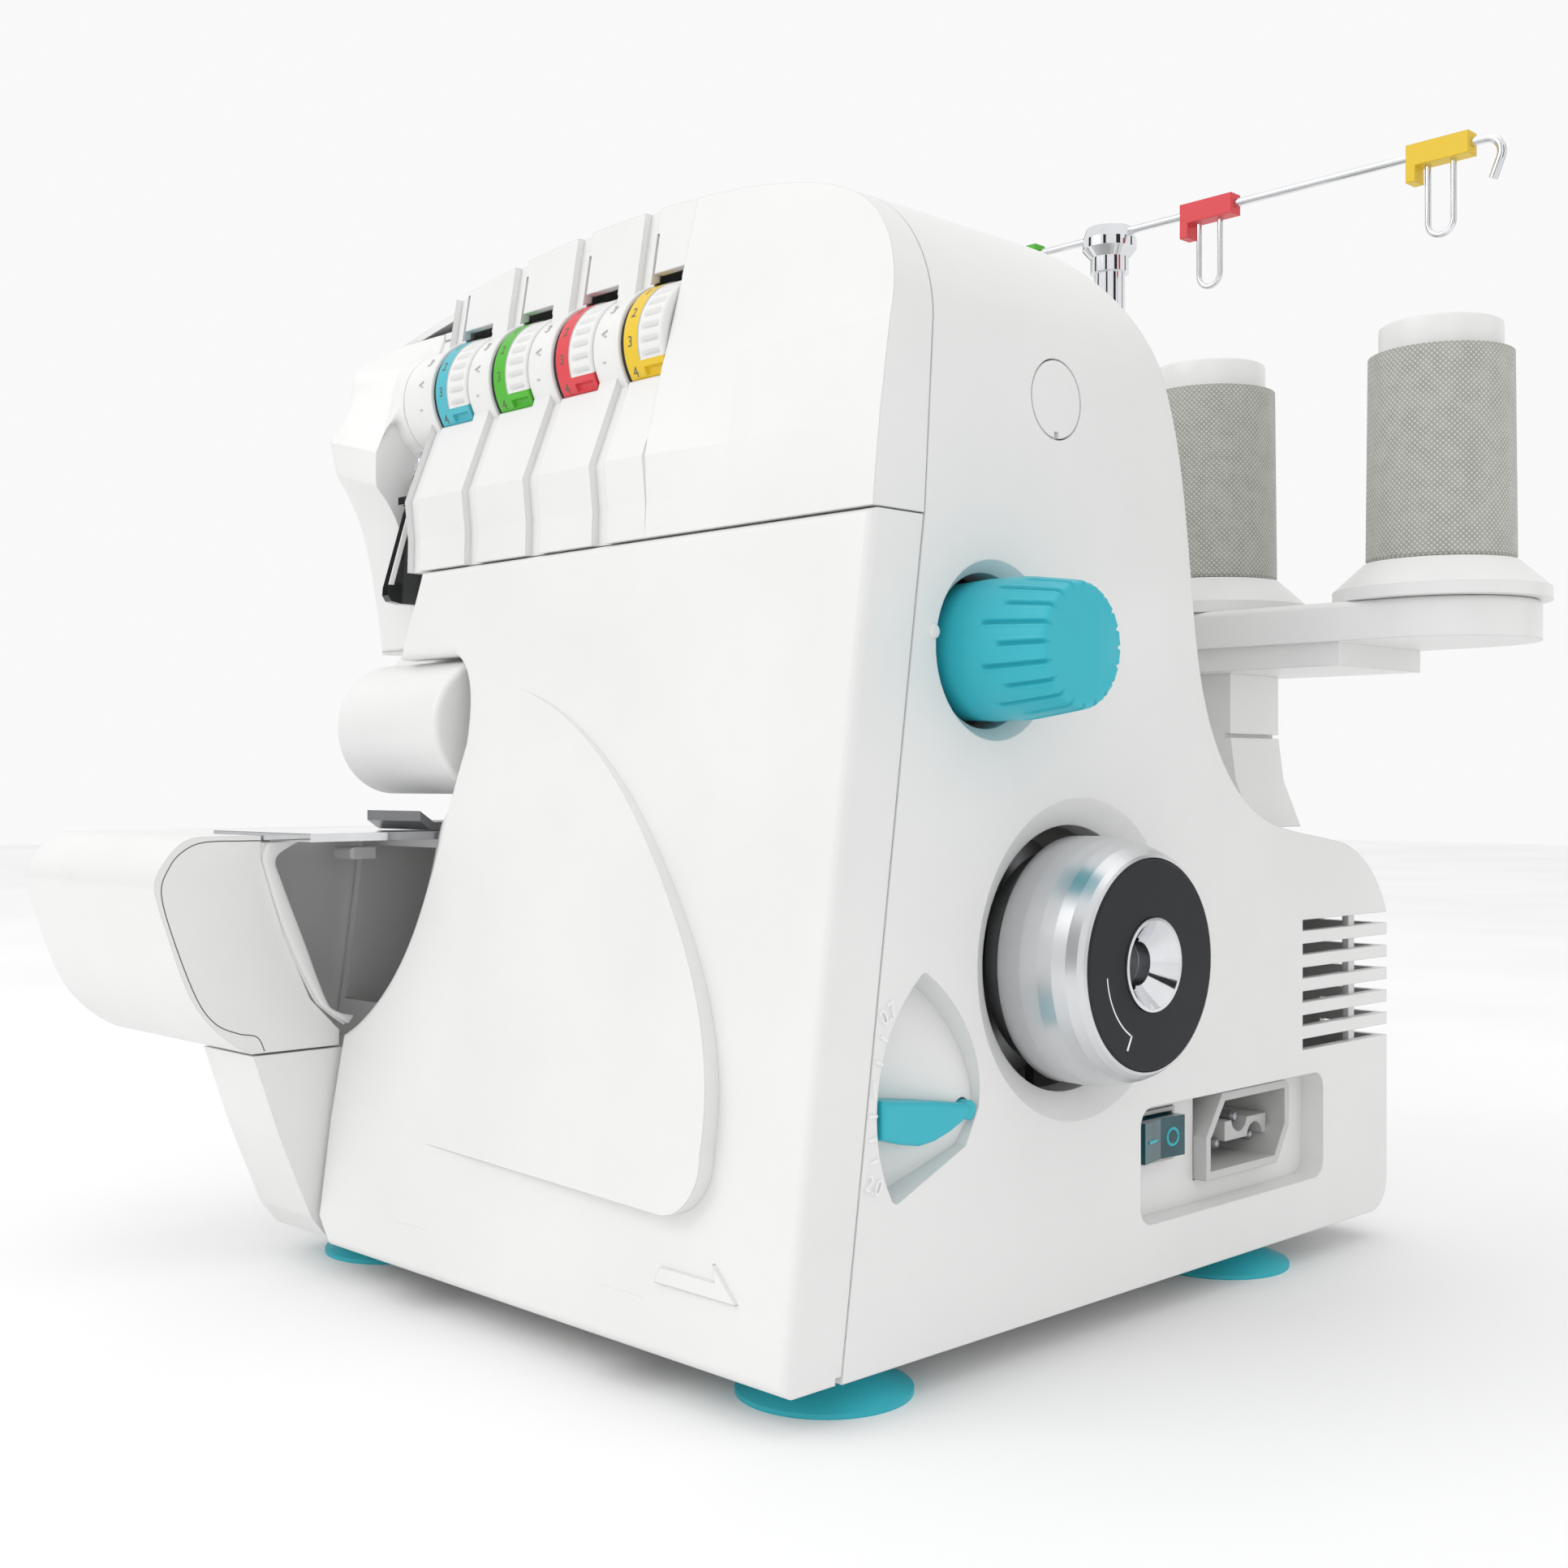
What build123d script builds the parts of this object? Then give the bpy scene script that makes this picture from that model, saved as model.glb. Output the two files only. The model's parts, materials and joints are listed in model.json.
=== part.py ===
"""Serger overlock machine: casings, frame, drive, looper and needle mechanisms, thread stand.

Sizes are in millimetres. The row origin is the centre of the outer box at the table.
Sub-parts are measured from a datum: the foot of the body's front right corner, with
x negative to the left, y to the rear and z up from the table.
"""

import os
from math import cos, radians, sin

from build123d import *

os.makedirs("parts", exist_ok=True)

# ---------------------------------------------------------------- driving dimensions
RIGHT_X = 110.65  # row x of the right side face
FRONT_Y = -111.2  # row y of the front face's foot
BODY_W = 232.0  # right side face to the left side face
BODY_D = 271.0  # front foot to the rear wall
FLOOR_Z = 9.0  # underside of the casings, above the table
SEAM_Z = 209.4  # top of the looper cover, foot of the upper cover
CROWN_Z = 303.4  # highest point of the casing
WALL = 3.0
GAP = 0.4  # visible seam between two casings
FRONT_LEAN = 28.4 / (SEAM_Z - FLOOR_Z)  # rearward lean of the front face
SEAM_FOOT_Y, SEAM_TOP_Y = 18.3, 46.8  # front covers meet the body along this line
BROW_Y, BROW_Z = 49.7, 254.0  # where the front of the crown starts
THROAT_X = -156.0  # right wall of the throat
THROAT_TOP = 187.0
BED_Z = 131.0  # cloth surface
SHAFT_Y, SHAFT_Z = 108.0, 99.5  # main shaft, which carries the handwheel
LOOPER_Y, LOOPER_Z = 78.0, 58.0  # lower shaft
MOTOR_Y, MOTOR_Z = 190.0, 84.0
KNOB_Y, KNOB_Z = 73.0, 178.0  # stitch length knob
LEVER_Y, LEVER_Z = 62.6, 65.8  # pivot of the differential feed lever
LEVER_PIN_R, LEVER_HUB_R = 1.2, 2.4
LEVER_FLOOR = -1.5  # x of the pocket's floor at the pivot
LEVER_STAND = 0.4  # the lever above that floor
DIAL_Y, DIAL_Z = 52.5, 264.5  # tension dials and the barrel between them
DIAL_R, BARREL_R = 18.3, 17.3
DIAL_PITCH, DIAL_W = 30.0, 15.6
FIRST_DIAL_X = -97.4  # left end of the rightmost dial
DIALS = 4
SWITCH_BOX = (137.4, 161.0, 39.4, 54.0)  # housing of the power switch: low y, high y, low z, high z
INLET_BOX = (171.5, 216.5, 31.5, 55.8)  # shell of the mains inlet, in the same order
INLET_RIM = 2.4
INLET_PINS = ((198.1, 45.9), (206.6, 39.3), (188.3, 39.1))  # (y, z) of the contacts
CUT_GAP = 0.3  # round the switch and the inlet
ROCKER_Y = 149.2  # pivot of the rocker
HINGE_Y, HINGE_Z = 6.5, 14.5  # looper cover hinge rod
NEEDLE_X, NEEDLE_Y = -186.0, 50.0
# looper blades seen from the front, (x, z), each from its pivot up to its hook
LOWER_BLADE = [(-180, 40), (-181, 96), (-204, 104), (-206, 107), (-178, 104), (-172, 98), (-172, 40)]
UPPER_BLADE = [(-164, 62), (-168, 100), (-186, 117), (-188, 121), (-182, 119), (-162, 104), (-156, 62)]
STAND_Y, STAND_Z = 228.0, 197.4  # thread stand: spool line and top face
SPOOL_X = (39.4, -38.3, -116.0, -193.7)
MAST_X = -77.2
RAIL_Z = 329.0  # thread guide rail above the spools
SHAFT_R = 5.0
RUNNING = 0.05  # radial clearance of a shaft in its bush

SIDE = Plane(origin=(RIGHT_X, FRONT_Y, 0), x_dir=(0, 1, 0), z_dir=(1, 0, 0))
FRONT = Plane(origin=(RIGHT_X, FRONT_Y, 0), x_dir=(1, 0, 0), z_dir=(0, -1, 0))
TOP = Plane(origin=(RIGHT_X, FRONT_Y, 0), x_dir=(1, 0, 0), z_dir=(0, 0, 1))


# ---------------------------------------------------------------- helpers
def at(x, y, z):
    """A point given from the datum, in the row frame."""
    return (RIGHT_X + x, FRONT_Y + y, z)


def save(piece, label):
    """Labels a finished piece and writes it as one STEP file."""
    piece.part.label = label
    export_step(piece.part, f"parts/{label}.step")


def side_slab(points, x_low, x_high):
    """A (y, z) polygon that runs along X."""
    with BuildPart() as slab:
        with BuildSketch(SIDE.offset(x_low)):
            with BuildLine():
                Polyline(*points, close=True)
            make_face()
        extrude(amount=x_high - x_low)
    return slab.part


def front_slab(points, y_low, y_high):
    """An (x, z) polygon that runs along Y."""
    with BuildPart() as slab:
        with BuildSketch(FRONT.offset(-y_low)):
            with BuildLine():
                Polyline(*points, close=True)
            make_face()
        extrude(amount=y_low - y_high)
    return slab.part


def block(x, y, z):
    """A box from its (low, high) pairs."""
    with BuildPart() as box:
        with BuildSketch(TOP.offset(z[0])):
            with Locations(((x[0] + x[1]) / 2, (y[0] + y[1]) / 2)):
                Rectangle(x[1] - x[0], y[1] - y[0])
        extrude(amount=z[1] - z[0])
    return box.part


def rod_x(y, z, radius, x_low, x_high):
    """A round bar along X."""
    with BuildPart() as rod:
        with BuildSketch(SIDE.offset(x_low)):
            with Locations((y, z)):
                Circle(radius)
        extrude(amount=x_high - x_low)
    return rod.part


def rod_y(x, z, radius, y_low, y_high):
    """A round bar along Y."""
    with BuildPart() as rod:
        with BuildSketch(FRONT.offset(-y_low)):
            with Locations((x, z)):
                Circle(radius)
        extrude(amount=y_low - y_high)
    return rod.part


def rod_z(x, y, radius, z_low, z_high):
    """A round bar along Z."""
    with BuildPart() as rod:
        with BuildSketch(TOP.offset(z_low)):
            with Locations((x, y)):
                Circle(radius)
        extrude(amount=z_high - z_low)
    return rod.part


def turned_x(profile, y, z):
    """A body of revolution about an axis along X. profile holds (x, radius) points."""
    with BuildPart() as turned:
        with BuildSketch(Plane(origin=at(0, y, z), x_dir=(1, 0, 0), z_dir=(0, -1, 0))):
            with BuildLine():
                Polyline(*profile, close=True)
            make_face()
        revolve(axis=Axis(at(0, y, z), (1, 0, 0)))
    return turned.part


def turned_z(profile, x, y):
    """A body of revolution about an upright axis. profile holds (radius, z) points."""
    with BuildPart() as turned:
        with BuildSketch(Plane(origin=at(x, y, 0), x_dir=(1, 0, 0), z_dir=(0, -1, 0))):
            with BuildLine():
                Polyline(*profile, close=True)
            make_face()
        revolve(axis=Axis(at(x, y, 0), (0, 0, 1)))
    return turned.part


def soften(piece, edges, radii):
    """Fillets the edges with the first radius that the solid takes."""
    for radius in radii:
        try:
            fillet(edges, radius)
            return
        except ValueError:
            continue


def front_face_y(z):
    """The leaning front face: its y at a height."""
    return (z - FLOOR_Z) * FRONT_LEAN


# ---------------------------------------------------------------- outer form of the body
def body_form(x_low, x_high, inset):
    """Side outline of the body behind the front seam, as a slab; inset makes its hollow."""
    drop = 0.8 * inset
    rear, foot, corner = BODY_D - inset, FLOOR_Z - 2 * inset, 10
    curve = [(80, 305), (104, 297.5), (124, 284), (141, 264), (151, 243), (156.5, 219)]
    curve += [(160, 195), (165, 171), (175, 151.5), (192, 137), (216, 130.5), (238, 127.5)]
    shifted = [(y - inset, z - drop) for y, z in curve]
    ahead = 12 if inset else 0
    with BuildPart() as form:
        with BuildSketch(SIDE.offset(x_low)):
            with BuildLine():
                crest = Polyline(
                    (SEAM_FOOT_Y - ahead, foot),
                    (SEAM_TOP_Y - ahead, SEAM_Z),
                    (BROW_Y - ahead, BROW_Z),
                    (52.5 - ahead, 306 - drop),
                )
                back = Spline((52.5 - ahead, 306 - drop), *shifted)
                shelf = SagittaArc(back @ 1, (rear, 104 - drop), 5.5)
                Line(shelf @ 1, (rear, foot + corner))
                RadiusArc((rear, foot + corner), (rear - corner, foot), corner)
                Line((rear - corner, foot), crest @ 0)
            make_face()
        extrude(amount=x_high - x_low)
    return form.part


def crown_form(inset):
    """Front outline of the casing's top, domed along X, as a slab over the whole depth."""
    curve = [(-3, 270), (-12, 283.6), (-22, 290.5), (-40, 296.8), (-65, 301.2)]
    curve += [(-105, CROWN_Z), (-142, 302.3), (-185, 297.5), (-BODY_W, 289)]
    shifted = [(x - inset, z - inset) for x, z in curve]
    with BuildPart() as form:
        with BuildSketch(FRONT.offset(60)):
            with BuildLine():
                dome = Spline((-inset, 252), *shifted)
                Polyline(dome @ 1, (-BODY_W - 60, 280), (-BODY_W - 60, 0), (-inset, 0), dome @ 0)
            make_face()
        extrude(amount=-400)
    return form.part


def throat(grow):
    """The space for the cloth, left of the column, open to the left, front and rear."""
    return block(
        (-BODY_W - 20, THROAT_X + grow),
        (-20, BODY_D + 20),
        (BED_Z - 2.5 - grow, THROAT_TOP + grow),
    )


# ---------------------------------------------------------------- casings
def make_right_cover():
    with BuildPart() as right_cover:
        add(body_form(-34, 0, 0))
        add(crown_form(0), mode=Mode.INTERSECT)
        add(body_form(-34.1, -WALL, WALL) & crown_form(WALL), mode=Mode.SUBTRACT)
        rims = right_cover.edges().filter_by(GeomType.LINE).filter_by(Axis.Y)
        soften(right_cover, rims.group_by(Axis.Z)[0].sort_by(Axis.X)[-1:], (6, 3))
        # dished collars round the stitch length knob and the handwheel
        add(rod_x(KNOB_Y, KNOB_Z, 24, -14, -1))
        dish = [(1, 0), (1, 23), (0, 22.4), (-3.6, 19.4), (-20, 19.4), (-20, 0)]
        add(turned_x(dish, KNOB_Y, KNOB_Z), mode=Mode.SUBTRACT)
        add(rod_x(SHAFT_Y, SHAFT_Z, 43, -12, -1))
        dish = [(1, 0), (1, 42.6), (0, 42), (-4.4, 34.8), (-12.5, 34.6), (-12.5, 0)]
        add(turned_x(dish, SHAFT_Y, SHAFT_Z), mode=Mode.SUBTRACT)
        # recess for the switch and the inlet
        add(block((-11, -1), (131, 236), (20.5, 62)))
        with BuildSketch(SIDE.offset(1)):
            with Locations((182.9, 41)):
                RectangleRounded(96.2, 32, 5)
        extrude(amount=-8.5, mode=Mode.SUBTRACT)
        for low_y, high_y, low_z, high_z in (SWITCH_BOX, INLET_BOX):
            opening = (low_y - CUT_GAP, high_y + CUT_GAP), (low_z - CUT_GAP, high_z + CUT_GAP)
            add(block((-20, 1), *opening), mode=Mode.SUBTRACT)
        # pocket of the differential feed lever, with a boss for its pin
        with BuildSketch(SIDE.offset(-12)):
            add(pocket_outline(2.0))
        extrude(amount=11)
        add(rod_x(LEVER_Y, LEVER_Z, 6.0, -17, -WALL))
        with BuildPart(mode=Mode.PRIVATE) as pocket:
            with BuildSketch(SIDE.offset(-12)):
                add(pocket_outline(0))
            extrude(amount=14)
            add(fan_room(LEVER_FLOOR), mode=Mode.INTERSECT)
        add(pocket.part, mode=Mode.SUBTRACT)
        add(rod_x(LEVER_Y, LEVER_Z, LEVER_HUB_R + LEVER_STAND, -9, 1), mode=Mode.SUBTRACT)
        add(rod_x(LEVER_Y, LEVER_Z, LEVER_PIN_R, -20, -4), mode=Mode.SUBTRACT)
        # ventilation slots round the rear corner
        for row in range(6):
            low = 64.5 + row * 7.2
            add(block((-22, 2), (219, BODY_D + 2), (low, low + 3.4)), mode=Mode.SUBTRACT)
        add(block((-WALL - 1.6, -WALL + 0.6), (251, 254.5), (60, 108)))
        # seat of the round plug
        add(rod_x(97.5, 243.5, 10.4, -5, 1), mode=Mode.SUBTRACT)
    save(right_cover, "right_cover")


def pocket_outline(grow):
    """Leaf-shaped face of the feed lever's pocket, (y, z), with its three corners rounded."""
    with BuildSketch() as pocket:
        with BuildLine():
            left = ThreePointArc((46.6, 100.5 + grow), (30.0 - grow, 70), (36, 46.5 - grow))
            low = Polyline(left @ 1, (61.6 + grow, 57.2 - grow), (66.4 + grow, 66))
            Spline(low @ 1, (66.2 + grow, 76), (63.6 + grow, 83), left @ 0)
        make_face()
        corners = pocket.vertices().sort_by(Axis.Y)
        fillet([corners[0], corners[-1]], 2.0)
    return pocket.sketch


def fan_room(floor_x):
    """Room above a shallow cone round the feed lever's pivot; floor_x is the cone's tip."""
    return turned_x([(floor_x - 9.1, 40), (floor_x, 0), (2, 0), (2, 40)], LEVER_Y, LEVER_Z)


def make_rear_cover():
    with BuildPart() as rear_cover:
        add(body_form(-BODY_W, -34 - GAP, 0))
        add(crown_form(0), mode=Mode.INTERSECT)
        add(throat(0), mode=Mode.SUBTRACT)
        add(block((-BODY_W - 5, THROAT_X + 0.3), (0, BODY_D + 5), (0, BED_Z)), mode=Mode.SUBTRACT)
        hollow = body_form(-BODY_W + WALL, -30, WALL) & crown_form(WALL)
        add(hollow - throat(WALL), mode=Mode.SUBTRACT)
        add(block((-201.5, -193), (86, 152), (180, 192)), mode=Mode.SUBTRACT)
        # passages for the needle bar and the presser bar
        add(block((-206, -178), (30, 68), (180, 192)), mode=Mode.SUBTRACT)
    save(rear_cover, "rear_cover")


def make_bed_casing():
    with BuildPart() as bed_casing:
        low_block = block((-BODY_W, THROAT_X), (25, BODY_D + 5), (FLOOR_Z, BED_Z - 2.5))
        add(body_form(-BODY_W, THROAT_X, 0) & low_block)
        room = block((-BODY_W + WALL, THROAT_X + 1), (25 + WALL, 300), (0, BED_Z - 5.5))
        add(body_form(-BODY_W + WALL, THROAT_X + 1, WALL) & room, mode=Mode.SUBTRACT)
        # leg in front of the panel, which carries the cloth arm
        leg = [(-18.6, 65.8), (-10.4, 41.7), (0.2, 16), (5.7, FLOOR_Z), (26, FLOOR_Z)]
        add(side_slab(leg + [(26, 65.8)], -BODY_W, -201.5))
        # slots for the lower looper and for the width lever
        add(block((-206, -160), (20, 32), (76, 92)), mode=Mode.SUBTRACT)
        add(block((-228, -206), (20, 32), (121, 126)), mode=Mode.SUBTRACT)
        # openings under the needle plate, for the needles and the knives
        add(block((-206, -176), (38, 62), (120, 130)), mode=Mode.SUBTRACT)
        add(block((-174.4, -150), (32, 66), (118, 130)), mode=Mode.SUBTRACT)
    save(bed_casing, "bed_casing")


def cover_outline(inset):
    """Front face of the looper cover, (x, z), with its concave cut; inset makes its hollow."""
    right, top = -0.2 - inset, SEAM_Z - GAP - inset
    left = [(-193, 9.2 + inset), (-200.3, 16 + inset), (-200.6, 45), (-198.8, 70 - inset)]
    cut = [(-184, 80 - inset), (-172, 95 - inset), (-164, 115), (-158, 138), (-153, 156)]
    nose = [(-153.5, 168), (-157, 177 + inset), (-164, 182.5 + inset)]
    shelf = [(-193, 182.5 + inset), (-186.5, top)]
    left, cut, nose, shelf = ([(x + inset, z) for x, z in run] for run in (left, cut, nose, shelf))
    with BuildSketch() as outline:
        with BuildLine():
            foot = Polyline((right, 9.2 + inset), *left)
            curve = Spline(foot @ 1, *cut)
            bow = Spline(curve @ 1, *nose)
            Polyline(bow @ 1, *shelf, (right, top), foot @ 0)
        make_face()
    return outline.sketch


def make_front_cover():
    """Looper cover: a shell on the leaning front, with a raised fan, hung on its hinge."""
    seam = [(SEAM_FOOT_Y - GAP, FLOOR_Z - 1), (SEAM_TOP_Y - GAP, SEAM_Z)]
    wedge = [(front_face_y(FLOOR_Z - 1), FLOOR_Z - 1), (front_face_y(SEAM_Z), SEAM_Z)]
    with BuildPart() as front_cover:
        with BuildSketch(FRONT.offset(20)):
            add(cover_outline(0))
        extrude(amount=-90)
        add(side_slab(wedge + seam[::-1], -230, 10), mode=Mode.INTERSECT)
        outer = front_cover.faces().filter_by(Plane.XZ, tolerance=20).sort_by(Axis.Y)[0]
        soften(front_cover, outer.edges(), (2.4, 1.6, 1))
        # hollow, open to the rear
        with BuildPart(mode=Mode.PRIVATE) as hollow:
            with BuildSketch(FRONT.offset(20)):
                add(cover_outline(WALL))
            extrude(amount=-90)
            behind = [(y + WALL, z) for y, z in wedge] + [(90, SEAM_Z), (90, FLOOR_Z - 1)]
            add(side_slab(behind, -230, 10), mode=Mode.INTERSECT)
        add(hollow.part, mode=Mode.SUBTRACT)
        # the shelf under the upper left corner stops short of the head's nose
        add(block((-200, -155), (31.4, 60), (175, 187.2)), mode=Mode.SUBTRACT)
        add(raised_fan())
        add(raised_arrow())
        # room for the lower rear edge, which swings back as the cover opens
        add(block((-230, 10), (16.4, 30), (8, 10.8)), mode=Mode.SUBTRACT)
        # clips round the hinge sleeve and notches for the rod's lugs
        for x in (-128, -78):
            add(block((x - 4, x + 4), (2.5, HINGE_Y + 5), (10.5, HINGE_Z + 5)))
        add(rod_x(HINGE_Y, HINGE_Z, 3.06, -140, -66), mode=Mode.SUBTRACT)
        for x in (-150, -56):
            add(block((x - 11, x + 6.5), (HINGE_Y - 4.5, 40), (8, 22)), mode=Mode.SUBTRACT)
    save(front_cover, "front_cover")


def raised_fan():
    """Fan panel that stands out of the front face and fades into it to the upper left."""
    with BuildPart() as fan:
        with BuildSketch(FRONT.offset(20)):
            with BuildLine():
                right = Spline(
                    (-133, 172.5), (-98, 159), (-74, 141), (-55, 120), (-40, 98), (-31.5, 75), (-30.6, 59)
                )
                corner = ThreePointArc(right @ 1, (-33.6, 47.5), (-44, 43))
                foot = Line(corner @ 1, (-168, 45))
                Polyline(foot @ 1, (-170, 120), right @ 0)
            make_face()
        extrude(amount=-90)
        skin = [(front_face_y(0) + 1, 0), (front_face_y(SEAM_Z) + 1, SEAM_Z)]
        add(side_slab(skin + [(-20, SEAM_Z), (-20, 0)], -230, 10), mode=Mode.INTERSECT)
        # outer face: 4.5 proud at the lower right, flush at the upper left
        rise_x, rise_z = 0.0391, -0.0065
        proud = Plane(
            origin=at(-150, front_face_y(45), 45),
            z_dir=(-rise_x, -1, FRONT_LEAN - rise_z),
            x_dir=(1, -rise_x, 0),
        )
        split(bisect_by=proud, keep=Keep.BOTTOM)
        rim = fan.faces().filter_by(lambda f: abs(f.normal_at().Y + 1) < 0.2).sort_by(Axis.Y)[0]
        soften(fan, rim.edges().filter_by(lambda e: e.center().X > at(-100, 0, 0)[0]), (2.4, 1.5, 0.8))
    return fan.part


def raised_arrow():
    """Half arrow that shows which way the looper cover slides to open."""
    shape = [(-46, 34.2), (-44.5, 30.5), (-25, 30.5), (-26.5, 26.6), (-17.5, 34.2)]
    with BuildPart() as arrow:
        add(front_slab([(x, 60.8 - z) for x, z in shape], -10, 30))
        skin = [(front_face_y(0) + 1, 0), (front_face_y(60) + 1, 60)]
        lifted = [(y - 1.9, z) for y, z in skin]
        add(side_slab(skin + lifted[::-1], -230, 10), mode=Mode.INTERSECT)
    return arrow.part


BAY_X = -81.6  # right end of the dial bays
UPPER_LEFT = -194.0
BAY = [(28.6, 209.4), (28.9, 219), (27.7, 231), (37.0, 254.5), (44.0, 281), (48.2, 306)]
PLAIN = [(28.6, 209.4), (29.6, 219), (31.0, 231), (34.6, 254.5), (41.6, 281), (48.2, 306)]
LIPPED = [(28.6, 209.4), (29.1, 219), (28.4, 231), (34.4, 254.5), (41.8, 281), (48.2, 306)]
UPPER_SEAM = [(52.3, 306), (BROW_Y - GAP, BROW_Z), (SEAM_TOP_Y - GAP, SEAM_Z)]


def bay_form(shift):
    """Front of the upper cover: bays with a brow line, fading into the plain right part."""
    stations = ((UPPER_LEFT, BAY_X, BAY, BAY), (BAY_X, -52, LIPPED, PLAIN), (-52, 0, PLAIN, PLAIN))
    with BuildPart() as form:
        for x_low, x_high, start, end in stations:
            for x, line in ((x_low, start), (x_high, end)):
                points = [(y + shift, z) for y, z in line] + UPPER_SEAM
                if shift:
                    points = [(y + shift, z) for y, z in line] + [(80, 306), (80, SEAM_Z)]
                with BuildSketch(SIDE.offset(x)):
                    with BuildLine():
                        Polyline(*points, close=True)
                    make_face()
            loft(ruled=True)
    return form.part


def make_upper_cover():
    with BuildPart() as upper_cover:
        add(bay_form(0))
        add(crown_form(0), mode=Mode.INTERSECT)
        hollow = bay_form(WALL) & crown_form(WALL)
        room = block((UPPER_LEFT + WALL, -WALL), (0, 90), (SEAM_Z + WALL, 320))
        add(hollow & room, mode=Mode.SUBTRACT)
        # barrel that houses the dials
        add(rod_x(DIAL_Y, DIAL_Z, BARREL_R, UPPER_LEFT - 12, BAY_X))
        add(rod_x(DIAL_Y, DIAL_Z, BARREL_R - 2, UPPER_LEFT - 10, BAY_X - 1), mode=Mode.SUBTRACT)
        for i in range(DIALS):
            left = FIRST_DIAL_X - i * DIAL_PITCH
            # thread channel left of each dial, down the front face
            near = [(y - 3, z) for y, z in BAY]
            far = [(y + 2.2, z) for y, z in BAY]
            channel = side_slab(near + far[::-1], left - 6.4, left - 0.1)
            add(channel - rod_x(DIAL_Y, DIAL_Z, BARREL_R, left - 8, left + 1), mode=Mode.SUBTRACT)
            # window for the dial, and the slot above it
            window = rod_x(DIAL_Y, DIAL_Z, DIAL_R + 0.7, left - 1.4, left + DIAL_W + 0.4)
            add(window, mode=Mode.SUBTRACT)
            add(block((left + 1, left + DIAL_W), (30, 56), (281, 284.5)), mode=Mode.SUBTRACT)
            add(block((left, left + 1.0), (44, 56), (281, 296)), mode=Mode.SUBTRACT)
    save(upper_cover, "upper_cover")


def make_left_cover():
    """Left wing of the head: a forward lip, a hooked underside and a recessed inner panel."""
    with BuildPart() as left_cover:
        with BuildSketch(SIDE.offset(-BODY_W)):
            with BuildLine():
                lip = Polyline((49.4, 288), (30, 275.5), (22, 253.5), (24.5, 242))
                hook = Spline(lip @ 1, (30, 222), (36, 204), (40.8, 188.6))
                Polyline(hook @ 1, (43.2, 187.4), (46.4, 209.4), (49.3, 254), (50.8, 288), (49.4, 288))
            make_face()
        extrude(amount=20)
        # inner panel and the fairing round the barrel's left end
        panel = [(40.0, 188), (43.2, 188), (46.4, 209.4), (48.6, 246), (44.6, 246), (42, 209.4)]
        add(side_slab(panel, -212.5, UPPER_LEFT - GAP))
        with BuildPart(mode=Mode.PRIVATE) as fairing:
            add(rod_x(DIAL_Y, DIAL_Z, BARREL_R, -216, UPPER_LEFT - GAP))
            add(block((-217, -200), (20, 48.8), (240, 300)), mode=Mode.INTERSECT)
        add(fairing.part)
        add(crown_form(0), mode=Mode.INTERSECT)
        add(rod_x(DIAL_Y, DIAL_Z, BARREL_R + 0.3, -207, -190), mode=Mode.SUBTRACT)
        hollow = [(46, 280), (34, 270), (27, 252), (30, 240), (38, 215), (41.6, 200), (60, 200), (60, 280)]
        add(side_slab(hollow, -BODY_W + WALL, -215), mode=Mode.SUBTRACT)
    save(left_cover, "left_cover")


def make_head_nose():
    """Round nose over the needle bar: a D section along X, open underneath."""
    with BuildPart() as head_nose:
        for radius, x_low, x_high, top in ((20.0, -213, -160.5, 186.7), (17.0, -210, -163.5, 190)):
            shape = Mode.ADD if radius == 20 else Mode.SUBTRACT
            with BuildSketch(SIDE.offset(x_low)):
                with BuildLine():
                    low = 142 if shape == Mode.ADD else 138
                    bow = ThreePointArc((36, 162 + radius), (36 - radius, 162), (36, 162 - radius))
                    Polyline(bow @ 1, (40, low), (60, low), (60, top), (40, top), bow @ 0)
                make_face()
            extrude(amount=x_high - x_low, mode=shape)
        ends = head_nose.faces().sort_by(Axis.X)
        soften(head_nose, ends[-1].edges().filter_by(GeomType.CIRCLE).sort_by(Axis.Y)[0:1], (2, 1))
    save(head_nose, "head_nose")


def make_arm_extension():
    """Cloth arm that slides off to the left: a shell, deep at the front, square behind."""
    far_x, near_x = -291.0, -201.9
    with BuildPart() as arm_extension:
        with BuildSketch(SIDE.offset(far_x)):
            with BuildLine():
                top = Polyline((-16, 130), (-34, 130))
                bends = (-44.3, 124.9), (-48.6, 117), (-46.7, 107.8)
                nose = Spline(top @ 1, *bends, tangents=[(-1, 0), (0.25, -1)])
                under = Spline(
                    nose @ 1, (-41.9, 93.8), (-36.3, 81.5), (-29, 73), (-19, 66.4)
                )
                Polyline(under @ 1, (9.8, 66.4), (9.8, 71), (0, 81), (-9, 101), (-16, 123), top @ 0)
            make_face()
        extrude(amount=near_x - far_x)
        add(block((far_x, -BODY_W - 0.8), (-16.5, 110), (66.2, 130)))
        corner = arm_extension.edges().filter_by(Axis.Z).group_by(Axis.X)[0]
        soften(arm_extension, corner, (10, 6))
        with BuildSketch(SIDE.offset(far_x + WALL)):
            with BuildLine():
                Polyline(
                    (-19, 126.6), (-34, 126.6), (-44.6, 117), (-42, 106), (-33.5, 84),
                    (-24, 76), (-15, 70.4), (5, 70.4), (-4, 80), (-12.5, 99.5), (-19, 121), close=True,
                )
            make_face()
        extrude(amount=near_x - far_x - 2 * WALL, mode=Mode.SUBTRACT)
        inside = block((far_x + WALL, -BODY_W - 0.8 - WALL), (8, 107), (69.2, 127))
        add(inside, mode=Mode.SUBTRACT)
    save(arm_extension, "arm_extension")


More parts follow.
